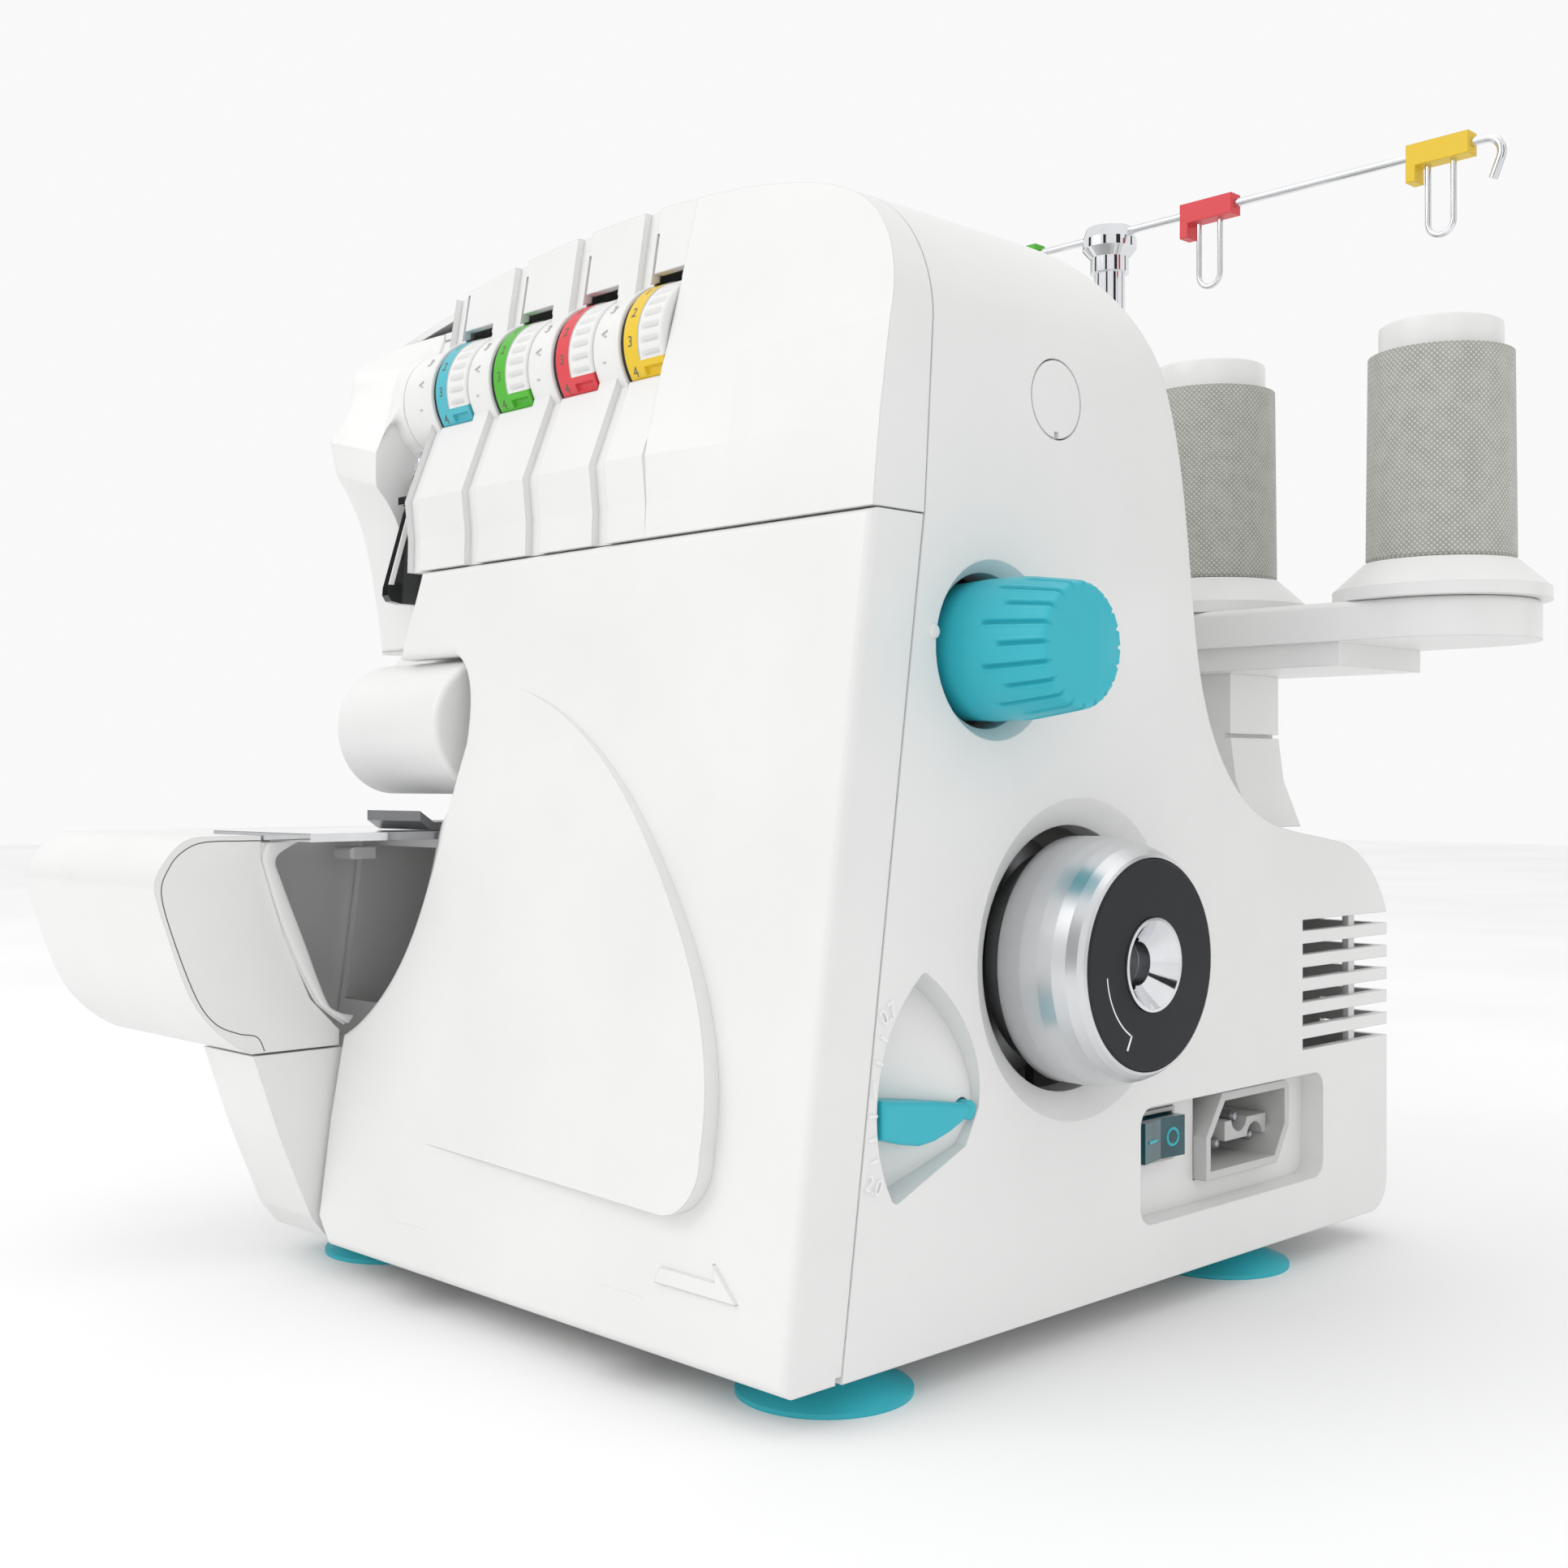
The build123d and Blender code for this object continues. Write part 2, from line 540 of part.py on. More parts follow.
def make_base():
    with BuildPart() as base_tray:
        add(block((THROAT_X + 0.5, -3.4), (21, BODY_D - 11), (FLOOR_Z, 12.4)))
        add(block((-BODY_W + 3.4, THROAT_X + 1), (28.4, BODY_D - 11), (FLOOR_Z, 12.4)))
        add(block((-148, -60), (21, 23), (12.4, 30)))
        # lugs that hold the looper cover's hinge rod
        for x in (-150, -56):
            add(block((x - 2.5, x + 2.5), (HINGE_Y - 3, 22), (HINGE_Z - 3, 17.5)))
        add(rod_x(HINGE_Y, HINGE_Z, 1.5, -230, 0), mode=Mode.SUBTRACT)
        for x, y in BASE_SCREWS:
            add(rod_z(x, y, 3.05, 8, 14), mode=Mode.SUBTRACT)
    save(base_tray, "base_tray")
    with BuildPart() as suction_feet:
        cup = [(0, 0), (21.5, 0), (21.5, 1.2), (12, 5.5), (9, 9), (0, 9)]
        for x, y in ((-20, 33), (-20, 203), (-209, 34), (-209, 203)):
            add(turned_z(cup, x, y))
    save(suction_feet, "suction_feet")
    with BuildPart() as hinge_sleeve:
        add(rod_x(HINGE_Y, HINGE_Z, 3.0, -138, -68))
        add(rod_x(HINGE_Y, HINGE_Z, 1.55, -139, -67), mode=Mode.SUBTRACT)
    save(hinge_sleeve, "hinge_sleeve")


# ---------------------------------------------------------------- frame and drive
UPRIGHTS = ((-151, -143), (-58, -50))
BASE_SCREWS = ((-200, 60), (-200, 180), (-120, 60), (-120, 180), (-24, 60), (-24, 180))


def make_frame():
    with BuildPart() as main_frame:
        add(block((-222, -12), (40, 215), (12.8, 18.8)))
        cheek = [(44, 18), (150, 18), (140, 236), (56, 236)]
        for x_low, x_high in UPRIGHTS:
            add(side_slab(cheek, x_low, x_high))
        # arm that carries the needle bar and the presser bar
        add(block((-222, -143), (66, 76), (192, 236)))
        for z in (195, 226):
            add(block((-190.4, -178), (45.9, 66), (z, z + 8)))
            add(block((-204, -190.4), (52, 66), (z, z + 8)))
        # cradle under the motor
        add(block((-112, -64), (170, 210), (18.8, 66)))
        add(rod_x(MOTOR_Y, MOTOR_Z, 27.0, -125, -40), mode=Mode.SUBTRACT)
        # bores for the bushes, bars and screws
        for y, z in ((SHAFT_Y, SHAFT_Z), (LOOPER_Y, LOOPER_Z)):
            add(rod_x(y, z, 8, -160, -40), mode=Mode.SUBTRACT)
        add(rod_x(KNOB_Y, KNOB_Z, 4 + RUNNING, -62, -40), mode=Mode.SUBTRACT)
        add(rod_z(NEEDLE_X, NEEDLE_Y, 3 + RUNNING, 190, 240), mode=Mode.SUBTRACT)
        add(rod_z(PRESSER_X, PRESSER_Y, 3 + RUNNING, 190, 240), mode=Mode.SUBTRACT)
        add(rod_x(LIFTER_Y, LIFTER_Z, 2.5, -206, -188), mode=Mode.SUBTRACT)
        for x, y in BASE_SCREWS:
            add(rod_z(x, y, 1.5, 10, 20), mode=Mode.SUBTRACT)
    save(main_frame, "main_frame")
    with BuildPart() as shaft_bushes:
        for y, z in ((SHAFT_Y, SHAFT_Z), (LOOPER_Y, LOOPER_Z)):
            for x_low, x_high in UPRIGHTS:
                add(rod_x(y, z, 8, x_low, x_high) - rod_x(y, z, SHAFT_R + RUNNING, -160, -40))
    save(shaft_bushes, "shaft_bushes")
    with BuildPart() as base_screws:
        for x, y in BASE_SCREWS:
            add(rod_z(x, y, 3.0, 9.8, 12.2))
            add(rod_z(x, y, 1.5, 12.2, 18))
            add(block((x - 2, x + 2), (y - 0.4, y + 0.4), (9.7, 10.6)), mode=Mode.SUBTRACT)
    save(base_screws, "base_screws")


def belt_loop(first, second, grow):
    """Face bounded by the belt line round two pulleys, each given as (y, z, radius)."""
    with BuildSketch() as loop:
        for y, z, radius in (first, second):
            with Locations((y, z)):
                Circle(radius + grow)
        make_hull()
    return loop.sketch


MAIN_PULLEY, MOTOR_PULLEY = (SHAFT_Y, SHAFT_Z, 30.0), (MOTOR_Y, MOTOR_Z, 8.0)
TIMING_A, TIMING_B = (SHAFT_Y, SHAFT_Z, 16.0), (LOOPER_Y, LOOPER_Z, 16.0)


def make_drive():
    with BuildPart() as main_shaft:
        add(rod_x(SHAFT_Y, SHAFT_Z, SHAFT_R, -152, 5.8))
        for radius, x_low, x_high in ((30.0, -34, -24), (16.0, -47, -39)):
            add(rod_x(SHAFT_Y, SHAFT_Z, radius, x_low, x_high))
            add(rod_x(SHAFT_Y, SHAFT_Z, radius + 2, x_low, x_low + 1))
            add(rod_x(SHAFT_Y, SHAFT_Z, radius + 2, x_high - 1, x_high))
    save(main_shaft, "main_shaft")
    with BuildPart() as lower_shaft:
        add(rod_x(LOOPER_Y, LOOPER_Z, SHAFT_R, -152, -36))
        add(rod_x(LOOPER_Y, LOOPER_Z, 16, -47, -39))
        for x in (-47, -40):
            add(rod_x(LOOPER_Y, LOOPER_Z, 18, x, x + 1))
    save(lower_shaft, "lower_shaft")
    with BuildPart() as motor:
        add(rod_x(MOTOR_Y, MOTOR_Z, 26.7, -120, -48))
        for x in (-121, -49):
            add(rod_x(MOTOR_Y, MOTOR_Z, 15, x - 3, x + 4))
        add(rod_x(MOTOR_Y, MOTOR_Z, 3 + RUNNING, -70, -40), mode=Mode.SUBTRACT)
    save(motor, "motor")
    with BuildPart() as motor_shaft:
        add(rod_x(MOTOR_Y, MOTOR_Z, 3, -66, -22))
        add(rod_x(MOTOR_Y, MOTOR_Z, 8, -34, -24))
        for x in (-34, -25):
            add(rod_x(MOTOR_Y, MOTOR_Z, 10, x, x + 1))
    save(motor_shaft, "motor_shaft")
    with BuildPart() as drive_belts:
        for first, second, x_low, x_high in (
            (MAIN_PULLEY, MOTOR_PULLEY, -32.6, -25.4),
            (TIMING_A, TIMING_B, -45.6, -40.4),
        ):
            with BuildSketch(SIDE.offset(x_low)):
                add(belt_loop(first, second, 1.6))
                add(belt_loop(first, second, 0.3), mode=Mode.SUBTRACT)
            extrude(amount=x_high - x_low)
    save(drive_belts, "drive_belts")


def make_handwheel():
    with BuildPart() as handwheel_rim:
        rim = [(-9, 5), (-9, 28.4), (-3.4, 28.4), (-2.8, 31.4), (-2, 32), (5, 32.1), (10, 31.7)]
        rim += [(14, 31), (17.4, 30), (20, 28.8), (21.4, 27.8), (21.8, 27), (19, 27)]
        rim += [(19, 12), (14, 12), (14, 5.6), (6, 5.6), (6, 5)]
        add(turned_x(rim, SHAFT_Y, SHAFT_Z))
    save(handwheel_rim, "handwheel_rim")
    with BuildPart() as handwheel_face:
        disc = [(19, 12), (19, 26.9), (21.6, 26.9), (22.2, 26.2), (22.2, 12)]
        add(turned_x(disc, SHAFT_Y, SHAFT_Z))
    save(handwheel_face, "handwheel_face")
    with BuildPart() as handwheel_hub:
        cup = [(14, 5.6), (14, 11.9), (22.9, 11.9), (22.9, 11), (17.6, 5.6)]
        add(turned_x(cup, SHAFT_Y, SHAFT_Z))
    save(handwheel_hub, "handwheel_hub")


# ---------------------------------------------------------------- controls
def make_controls():
    with BuildPart() as stitch_knob:
        grip = [(-9, 0), (-9, 17.2), (0, 17.6), (8, 17.5), (15, 16.9), (25.6, 15.2), (26.7, 14.7)]
        add(turned_x(grip + [(27, 14.2), (27, 0)], KNOB_Y, KNOB_Z))
        for i in range(20):
            turn = radians(i * 18)
            start = 8 if i % 2 else 13
            y, z = KNOB_Y + 18.1 * cos(turn), KNOB_Z + 18.1 * sin(turn)
            lean = Vector(40, -6.0 * cos(turn), -6.0 * sin(turn))
            with BuildPart(mode=Mode.PRIVATE) as flute:
                with BuildSketch(Plane(origin=at(start, y, z), z_dir=lean)):
                    Circle(1.0)
                extrude(amount=40)
            add(flute.part, mode=Mode.SUBTRACT)
        add(rod_x(KNOB_Y, KNOB_Z, 4, -62, -9))
    save(stitch_knob, "stitch_knob")
    with BuildPart() as feed_lever:
        leaf = [(31.4, 71.6), (31.4, 62.6), (38, 60.6), (44.5, 59.4), (50, 59.9), (55.5, 61.4)]
        add(side_slab(leaf + [(61.4, 63.9), (63.6, 66.4), (61.6, 67.6), (48, 69.6)], -10, 0.9))
        soften(feed_lever, feed_lever.faces().sort_by(Axis.X)[-1].edges(), (2.8, 2, 1.2, 0.8))
        add(fan_room(LEVER_FLOOR + LEVER_STAND), mode=Mode.INTERSECT)
        add(rod_x(LEVER_Y, LEVER_Z, LEVER_HUB_R, -8.6, 0.3))
        add(rod_x(LEVER_Y, LEVER_Z, LEVER_PIN_R + RUNNING, -10, -2), mode=Mode.SUBTRACT)
    save(feed_lever, "feed_lever")
    with BuildPart() as side_plug:
        add(rod_x(97.5, 243.5, 10.0, -4.6, 0))
        add(block((-1.2, 1), (96.7, 98.3), (232, 235.2)), mode=Mode.SUBTRACT)
    save(side_plug, "side_plug")
    low_y, high_y, low_z, high_z = SWITCH_BOX
    with BuildPart() as switch_housing:
        add(block((-22, -6.8), (low_y, high_y), (low_z, high_z)))
        add(block((-18, -6), (low_y + 1.1, high_y - 1.1), (low_z + 1.1, high_z - 1.1)), mode=Mode.SUBTRACT)
    save(switch_housing, "switch_housing")
    with BuildPart() as power_rocker:
        front = [(-8.2, 139), (-1.4, 138.9), (-3.4, ROCKER_Y), (-2.4, 159.5), (-8.2, 159.4)]
        with BuildSketch(TOP.offset(low_z + 1.7)):
            with BuildLine():
                Polyline(*front, (-14, ROCKER_Y), close=True)
            make_face()
        extrude(amount=high_z - low_z - 3.4)
        add(rod_z(-8, ROCKER_Y, 1.0, low_z, high_z), mode=Mode.SUBTRACT)
    save(power_rocker, "power_rocker")
    low_y, high_y, low_z, high_z = INLET_BOX
    with BuildPart() as power_inlet:
        edge = [(low_y, low_z), (low_y, 44), (180, high_z), (high_y - 2, high_z), (high_y, high_z - 2)]
        add(side_slab(edge + [(high_y, 42), (high_y - 7, low_z)], -30, -3.2))
        left, right = low_y + INLET_RIM, high_y - INLET_RIM
        foot, top = low_z + INLET_RIM, high_z - INLET_RIM
        cavity = [(left, foot), (left, 43.2), (181.4, top), (right, top), (right, 42.8), (right - 5.8, foot)]
        add(side_slab(cavity, -27, 0), mode=Mode.SUBTRACT)
        # tongue between the pins, hollowed round two of them
        add(block((-27.5, -9), (190.3, 213), (39.6, 45.4)))
        for y, z in INLET_PINS[:2]:
            add(rod_x(y, z, 4.2, -27, -8), mode=Mode.SUBTRACT)
    save(power_inlet, "power_inlet")
    with BuildPart() as inlet_pins:
        for y, z in INLET_PINS:
            add(turned_x([(-27, 0), (-27, 1.7), (-11.2, 1.7), (-10.2, 1.2), (-9.8, 0)], y, z))
    save(inlet_pins, "inlet_pins")
    with BuildPart() as width_lever:
        add(block((-224, -213), (20.5, 29.5), (121.6, 125.4)))
        soften(width_lever, width_lever.faces().sort_by(Axis.Y)[0].edges(), (1.2, 0.6))
    save(width_lever, "width_lever")


def make_dials():
    for i in range(DIALS):
        left = FIRST_DIAL_X - i * DIAL_PITCH
        with BuildPart() as dial:
            add(rod_x(DIAL_Y, DIAL_Z, DIAL_R, left, left + 5.6))
            add(rod_x(DIAL_Y, DIAL_Z, DIAL_R - 0.3, left + 5.6, left + DIAL_W))
            rim = dial.faces().sort_by(Axis.X)[-1].edges()
            soften(dial, rim, (1.0, 0.5))
            for k in range(24):
                turn = radians(k * 15)
                y, z = DIAL_Y + DIAL_R * cos(turn), DIAL_Z + DIAL_R * sin(turn)
                if k not in (14, 15):
                    add(rod_x(y, z, 1.1, left + 6.6, left + DIAL_W - 2.4), mode=Mode.SUBTRACT)
            add(rod_x(DIAL_Y, DIAL_Z, 4 + RUNNING, left - 1, left + DIAL_W + 1), mode=Mode.SUBTRACT)
        save(dial, f"tension_dial_{i + 1}")
    with BuildPart() as tension_posts:
        add(rod_x(DIAL_Y, DIAL_Z, 4, UPPER_LEFT - 9.9, BAY_X - 1.1))
        for i in range(DIALS):
            left = FIRST_DIAL_X - i * DIAL_PITCH
            for x in (left - 2.4, left - 4.0):
                add(rod_x(DIAL_Y, DIAL_Z, 11, x, x + 0.8))
    save(tension_posts, "tension_posts")


# ---------------------------------------------------------------- needle, foot, loopers, knives
PRESSER_X, PRESSER_Y = -198.0, 58.0
LIFTER_Y, LIFTER_Z = 98.0, 197.0


def make_stitching():
    with BuildPart() as needle_plate:
        add(block((-231.6, -174.6), (-15.6, 64), (128.6, BED_Z)))
        add(block((-190, -182), (46, 54), (120, 140)), mode=Mode.SUBTRACT)
        for x in (-200, -194, -180):
            add(block((x - 1.2, x + 1.2), (40, 60), (120, 140)), mode=Mode.SUBTRACT)
    save(needle_plate, "needle_plate")
    with BuildPart() as needle_bar:
        add(rod_z(NEEDLE_X, NEEDLE_Y, 3, 158, 240))
        add(block((-190.4, -181.6), (NEEDLE_Y - 4, NEEDLE_Y + 4), (150, 158)))
    save(needle_bar, "needle_bar")
    with BuildPart() as needles:
        for x in (-188.0, -184.0):
            add(rod_z(x, NEEDLE_Y, 0.6, 139, 150))
    save(needles, "needles")
    with BuildPart() as presser_bar:
        add(rod_z(PRESSER_X, PRESSER_Y, 3, 152, 238))
        add(block((-203, -193), (PRESSER_Y - 5, PRESSER_Y + 5), (142.5, 152)))
    save(presser_bar, "presser_bar")
    with BuildPart() as presser_foot:
        sole = [(22, 134), (26, 131.3), (68, 131.3), (68, 133.6), (27, 133.6), (22, 137)]
        add(side_slab(sole, -206, -177))
        add(block((-191, -181), (44, 56), (125, 140)), mode=Mode.SUBTRACT)
        add(block((-203, -193), (PRESSER_Y - 4, PRESSER_Y + 4), (133.6, 142.5)))
    save(presser_foot, "presser_foot")
    with BuildPart() as foot_lifter:
        arm = [(93, 203), (103, 203), (105, 190), (140, 176), (143, 168), (138, 164.5), (100, 180), (92, 190)]
        add(side_slab(arm, -200, -195))
        add(rod_x(LIFTER_Y, LIFTER_Z, 2.5 + RUNNING, -206, -190), mode=Mode.SUBTRACT)
    save(foot_lifter, "foot_lifter")
    with BuildPart() as pivot_pins:
        # looper cover's hinge rod, feed lever's pin, foot lifter's pin on its bracket
        add(rod_x(HINGE_Y, HINGE_Z, 1.5, -153.5, -52.5))
        add(rod_x(LEVER_Y, LEVER_Z, LEVER_PIN_R, -17, -2.6))
        add(rod_x(LIFTER_Y, LIFTER_Z, 2.5, -205, -194))
        add(block((-194.6, -190), (76, 102), (192.5, 201.5)))
        # looper pins on their bracket
        for x, z in ((-176, 40), (-160, 62)):
            add(rod_y(x, z, 3, 36, 62))
        add(block((-182, -154), (62, 66), (18.8, 68)))
    save(pivot_pins, "pivot_pins")
    for label, x, z, y, blade in (
        ("lower_looper", -176, 40, 42, LOWER_BLADE),
        ("upper_looper", -160, 62, 52, UPPER_BLADE),
    ):
        with BuildPart() as looper:
            add(front_slab(blade, y, y + 4))
            add(rod_y(x, z, 7, y - 2, y + 6))
            add(rod_y(x, z, 3 + RUNNING, y - 4, y + 8), mode=Mode.SUBTRACT)
        save(looper, label)
    with BuildPart() as upper_knife:
        add(block((-170.6, -168.8), (40, 51.6), (112, 146)))
        add(block((-168.8, -164.4), (40, 49.6), (86, 126)))
    save(upper_knife, "upper_knife")
    with BuildPart() as lower_knife:
        add(block((-173.2, -170.9), (38, 50), (106, 130.9)))
        add(block((-173.2, -163.6), (34, 37.7), (98, 122)))
        add(block((-173.2, -170.9), (37.5, 40), (106, 122)))
    save(lower_knife, "lower_knife")
    with BuildPart() as take_up_guard:
        edge = [(40.6, 242.4), (29.4, 206), (29.2, 203.6), (30.4, 201.8), (34, 201.2)]
        add(side_slab(edge + [(40.6, 201.2), (41.2, 209), (43.8, 242.4)], -209.2, -205.8))
    save(take_up_guard, "take_up_guard")
    with BuildPart() as thread_guides:
        add(side_slab([(37.2, 242.6), (43.9, 242.6), (43.9, 248.6), (38.4, 248.6)], -204, -197))
        add(block((-204.5, -199), (32, 43.3), (231.5, 234)))
    save(thread_guides, "thread_guides")


# ---------------------------------------------------------------- thread stand
def wire_loop(x):
    """U of wire under a guide clip."""
    with BuildPart() as loop:
        with BuildLine(FRONT.offset(-STAND_Y)):
            down = Line((x - 3.9, 325.6), (x - 3.9, 308.4))
            turn = JernArc(down @ 1, (0, -1), 3.9, 180)
            Line(turn @ 1, (x + 3.9, 325.6))
        with BuildSketch(Plane(origin=at(x - 3.9, STAND_Y, 325.6), z_dir=(0, 0, -1))):
            Circle(0.9)
        sweep()
    return loop.part


def make_stand():
    half = 27.5
    with BuildPart() as stand_column:
        flare = [(-134, 131.6), (-14, 131.6), (-20, 146), (-22, 160), (-22, 179.2), (-134, 179.2)]
        add(front_slab(flare, 214, 242))
        add(block((-24, -10), (210, 250), (159.4, 160.6)), mode=Mode.SUBTRACT)
    save(stand_column, "stand_column")
    with BuildPart() as stand_plate:
        with BuildSketch(TOP.offset(186)):
            with Locations(((SPOOL_X[0] + SPOOL_X[-1]) / 2, STAND_Y)):
                SlotOverall(SPOOL_X[0] - SPOOL_X[-1] + 2 * half, 2 * half)
        extrude(amount=STAND_Z - 186)
        soften(stand_plate, stand_plate.faces().sort_by(Axis.Z)[-1].edges(), (2, 1))
        add(block((-174.8, 20.5), (203, 253), (179.2, 187)))
        for x in SPOOL_X:
            add(rod_z(x, STAND_Y, 2.5, 188, 200), mode=Mode.SUBTRACT)
        add(rod_z(MAST_X, STAND_Y, 5.9, 182, 200), mode=Mode.SUBTRACT)
    save(stand_plate, "stand_plate")
    with BuildPart() as spool_pins:
        for x in SPOOL_X:
            add(rod_z(x, STAND_Y, 2.5, 188, 264))
    save(spool_pins, "spool_pins")
    with BuildPart() as spool_holders:
        dish = [(2.6, STAND_Z), (30.3, STAND_Z), (30.3, 201), (21.5, 209), (2.6, 209)]
        for x in SPOOL_X:
            add(turned_z(dish, x, STAND_Y))
    save(spool_holders, "spool_holders")
    winding = [(2.58, 209.3), (20.9, 209.3), (20.3, 269), (17.3, 269)]
    winding += [(17.3, 277.2), (16.5, 278), (2.58, 278)]
    for i, x in enumerate(SPOOL_X):
        with BuildPart() as spool:
            add(turned_z(winding, x, STAND_Y))
        save(spool, f"thread_spool_{i + 1}")
    with BuildPart() as mast_tube:
        add(rod_z(MAST_X, STAND_Y, 5.9, 182, 297))
        add(rod_z(MAST_X, STAND_Y, 5.25, 183.5, 300), mode=Mode.SUBTRACT)
    save(mast_tube, "mast_tube")
    with BuildPart() as mast_rod:
        add(rod_z(MAST_X, STAND_Y, 5.2, 230, 322))
        add(rod_z(MAST_X, STAND_Y, 6.4, 316, 322))
        add(turned_z([(0, 321), (6.4, 321), (9, 324), (9, 327), (7.6, 331), (0, 332)], MAST_X, STAND_Y))
        add(rod_x(STAND_Y, RAIL_Z, 1.3, MAST_X - 12, MAST_X + 12), mode=Mode.SUBTRACT)
    save(mast_rod, "mast_rod")
    with BuildPart() as guide_rail:
        with BuildLine(FRONT.offset(-STAND_Y)):
            run = Line((SPOOL_X[-1] - 12.4, RAIL_Z), (SPOOL_X[0] + 13.6, RAIL_Z))
            bend = JernArc(run @ 1, (1, 0), 4.6, -112)
            Line(bend @ 1, bend @ 1 + (bend % 1) * 6)
        with BuildSketch(Plane(origin=at(SPOOL_X[-1] - 12.4, STAND_Y, RAIL_Z), z_dir=(1, 0, 0))):
            Circle(1.3)
        sweep()
        # wire loops that hang from the clips
        for x in SPOOL_X:
            add(wire_loop(x))
    save(guide_rail, "guide_rail")
    with BuildPart() as guide_clips:
        for x in SPOOL_X:
            add(block((x - 9.5, x + 9.5), (STAND_Y - 2.7, STAND_Y + 2.7), (325.6, 332)))
            add(block((x - 9.5, x - 6.6), (STAND_Y - 2.7, STAND_Y + 2.7), (321, 326)))
        add(rod_x(STAND_Y, RAIL_Z, 1.3, -240, 80), mode=Mode.SUBTRACT)
    save(guide_clips, "guide_clips")


make_right_cover()
make_rear_cover()
make_bed_casing()
make_front_cover()
make_upper_cover()
make_left_cover()
make_head_nose()
make_arm_extension()
make_base()
make_frame()
make_drive()
make_handwheel()
make_controls()
make_dials()
make_stitching()
make_stand()
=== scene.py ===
import json
import math

import bmesh
import bpy
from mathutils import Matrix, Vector


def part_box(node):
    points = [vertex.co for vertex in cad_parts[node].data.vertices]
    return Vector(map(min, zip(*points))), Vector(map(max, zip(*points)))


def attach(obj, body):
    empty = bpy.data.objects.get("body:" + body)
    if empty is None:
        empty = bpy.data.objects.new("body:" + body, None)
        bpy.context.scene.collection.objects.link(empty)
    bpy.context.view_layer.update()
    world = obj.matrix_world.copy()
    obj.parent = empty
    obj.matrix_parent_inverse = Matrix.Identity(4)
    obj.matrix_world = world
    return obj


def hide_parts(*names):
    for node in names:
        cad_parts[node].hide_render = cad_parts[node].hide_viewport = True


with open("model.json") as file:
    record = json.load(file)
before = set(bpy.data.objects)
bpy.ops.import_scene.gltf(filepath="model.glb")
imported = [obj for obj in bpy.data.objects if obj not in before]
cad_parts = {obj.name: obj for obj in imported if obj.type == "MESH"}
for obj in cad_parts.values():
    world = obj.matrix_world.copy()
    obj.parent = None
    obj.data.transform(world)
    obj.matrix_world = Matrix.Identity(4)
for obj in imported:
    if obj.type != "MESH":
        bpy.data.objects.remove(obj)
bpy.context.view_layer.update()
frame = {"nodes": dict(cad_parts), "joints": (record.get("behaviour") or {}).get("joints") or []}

MM = 0.001
NODES = frame["nodes"]
JOINTS = {joint["name"]: joint for joint in frame["joints"]}

# Datum: the foot of the body's front right corner. x runs to the left as it falls, y to the rear.
BODY_DEPTH = 271.0
RIGHT_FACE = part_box("right_cover")[1].x
FRONT_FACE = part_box("rear_cover")[1].y - BODY_DEPTH * MM


def at(x, y, z):
    """Point given in millimetres from the datum."""
    return Vector((RIGHT_FACE + x * MM, FRONT_FACE + y * MM, z * MM))


# ---------------------------------------------------------------- shader helpers
def srgb(code):
    """Linear colour from a six digit hexadecimal sRGB code."""
    parts = [int(code[i:i + 2], 16) / 255 for i in (0, 2, 4)]
    return tuple(v / 12.92 if v <= 0.04045 else ((v + 0.055) / 1.055) ** 2.4 for v in parts) + (1.0,)


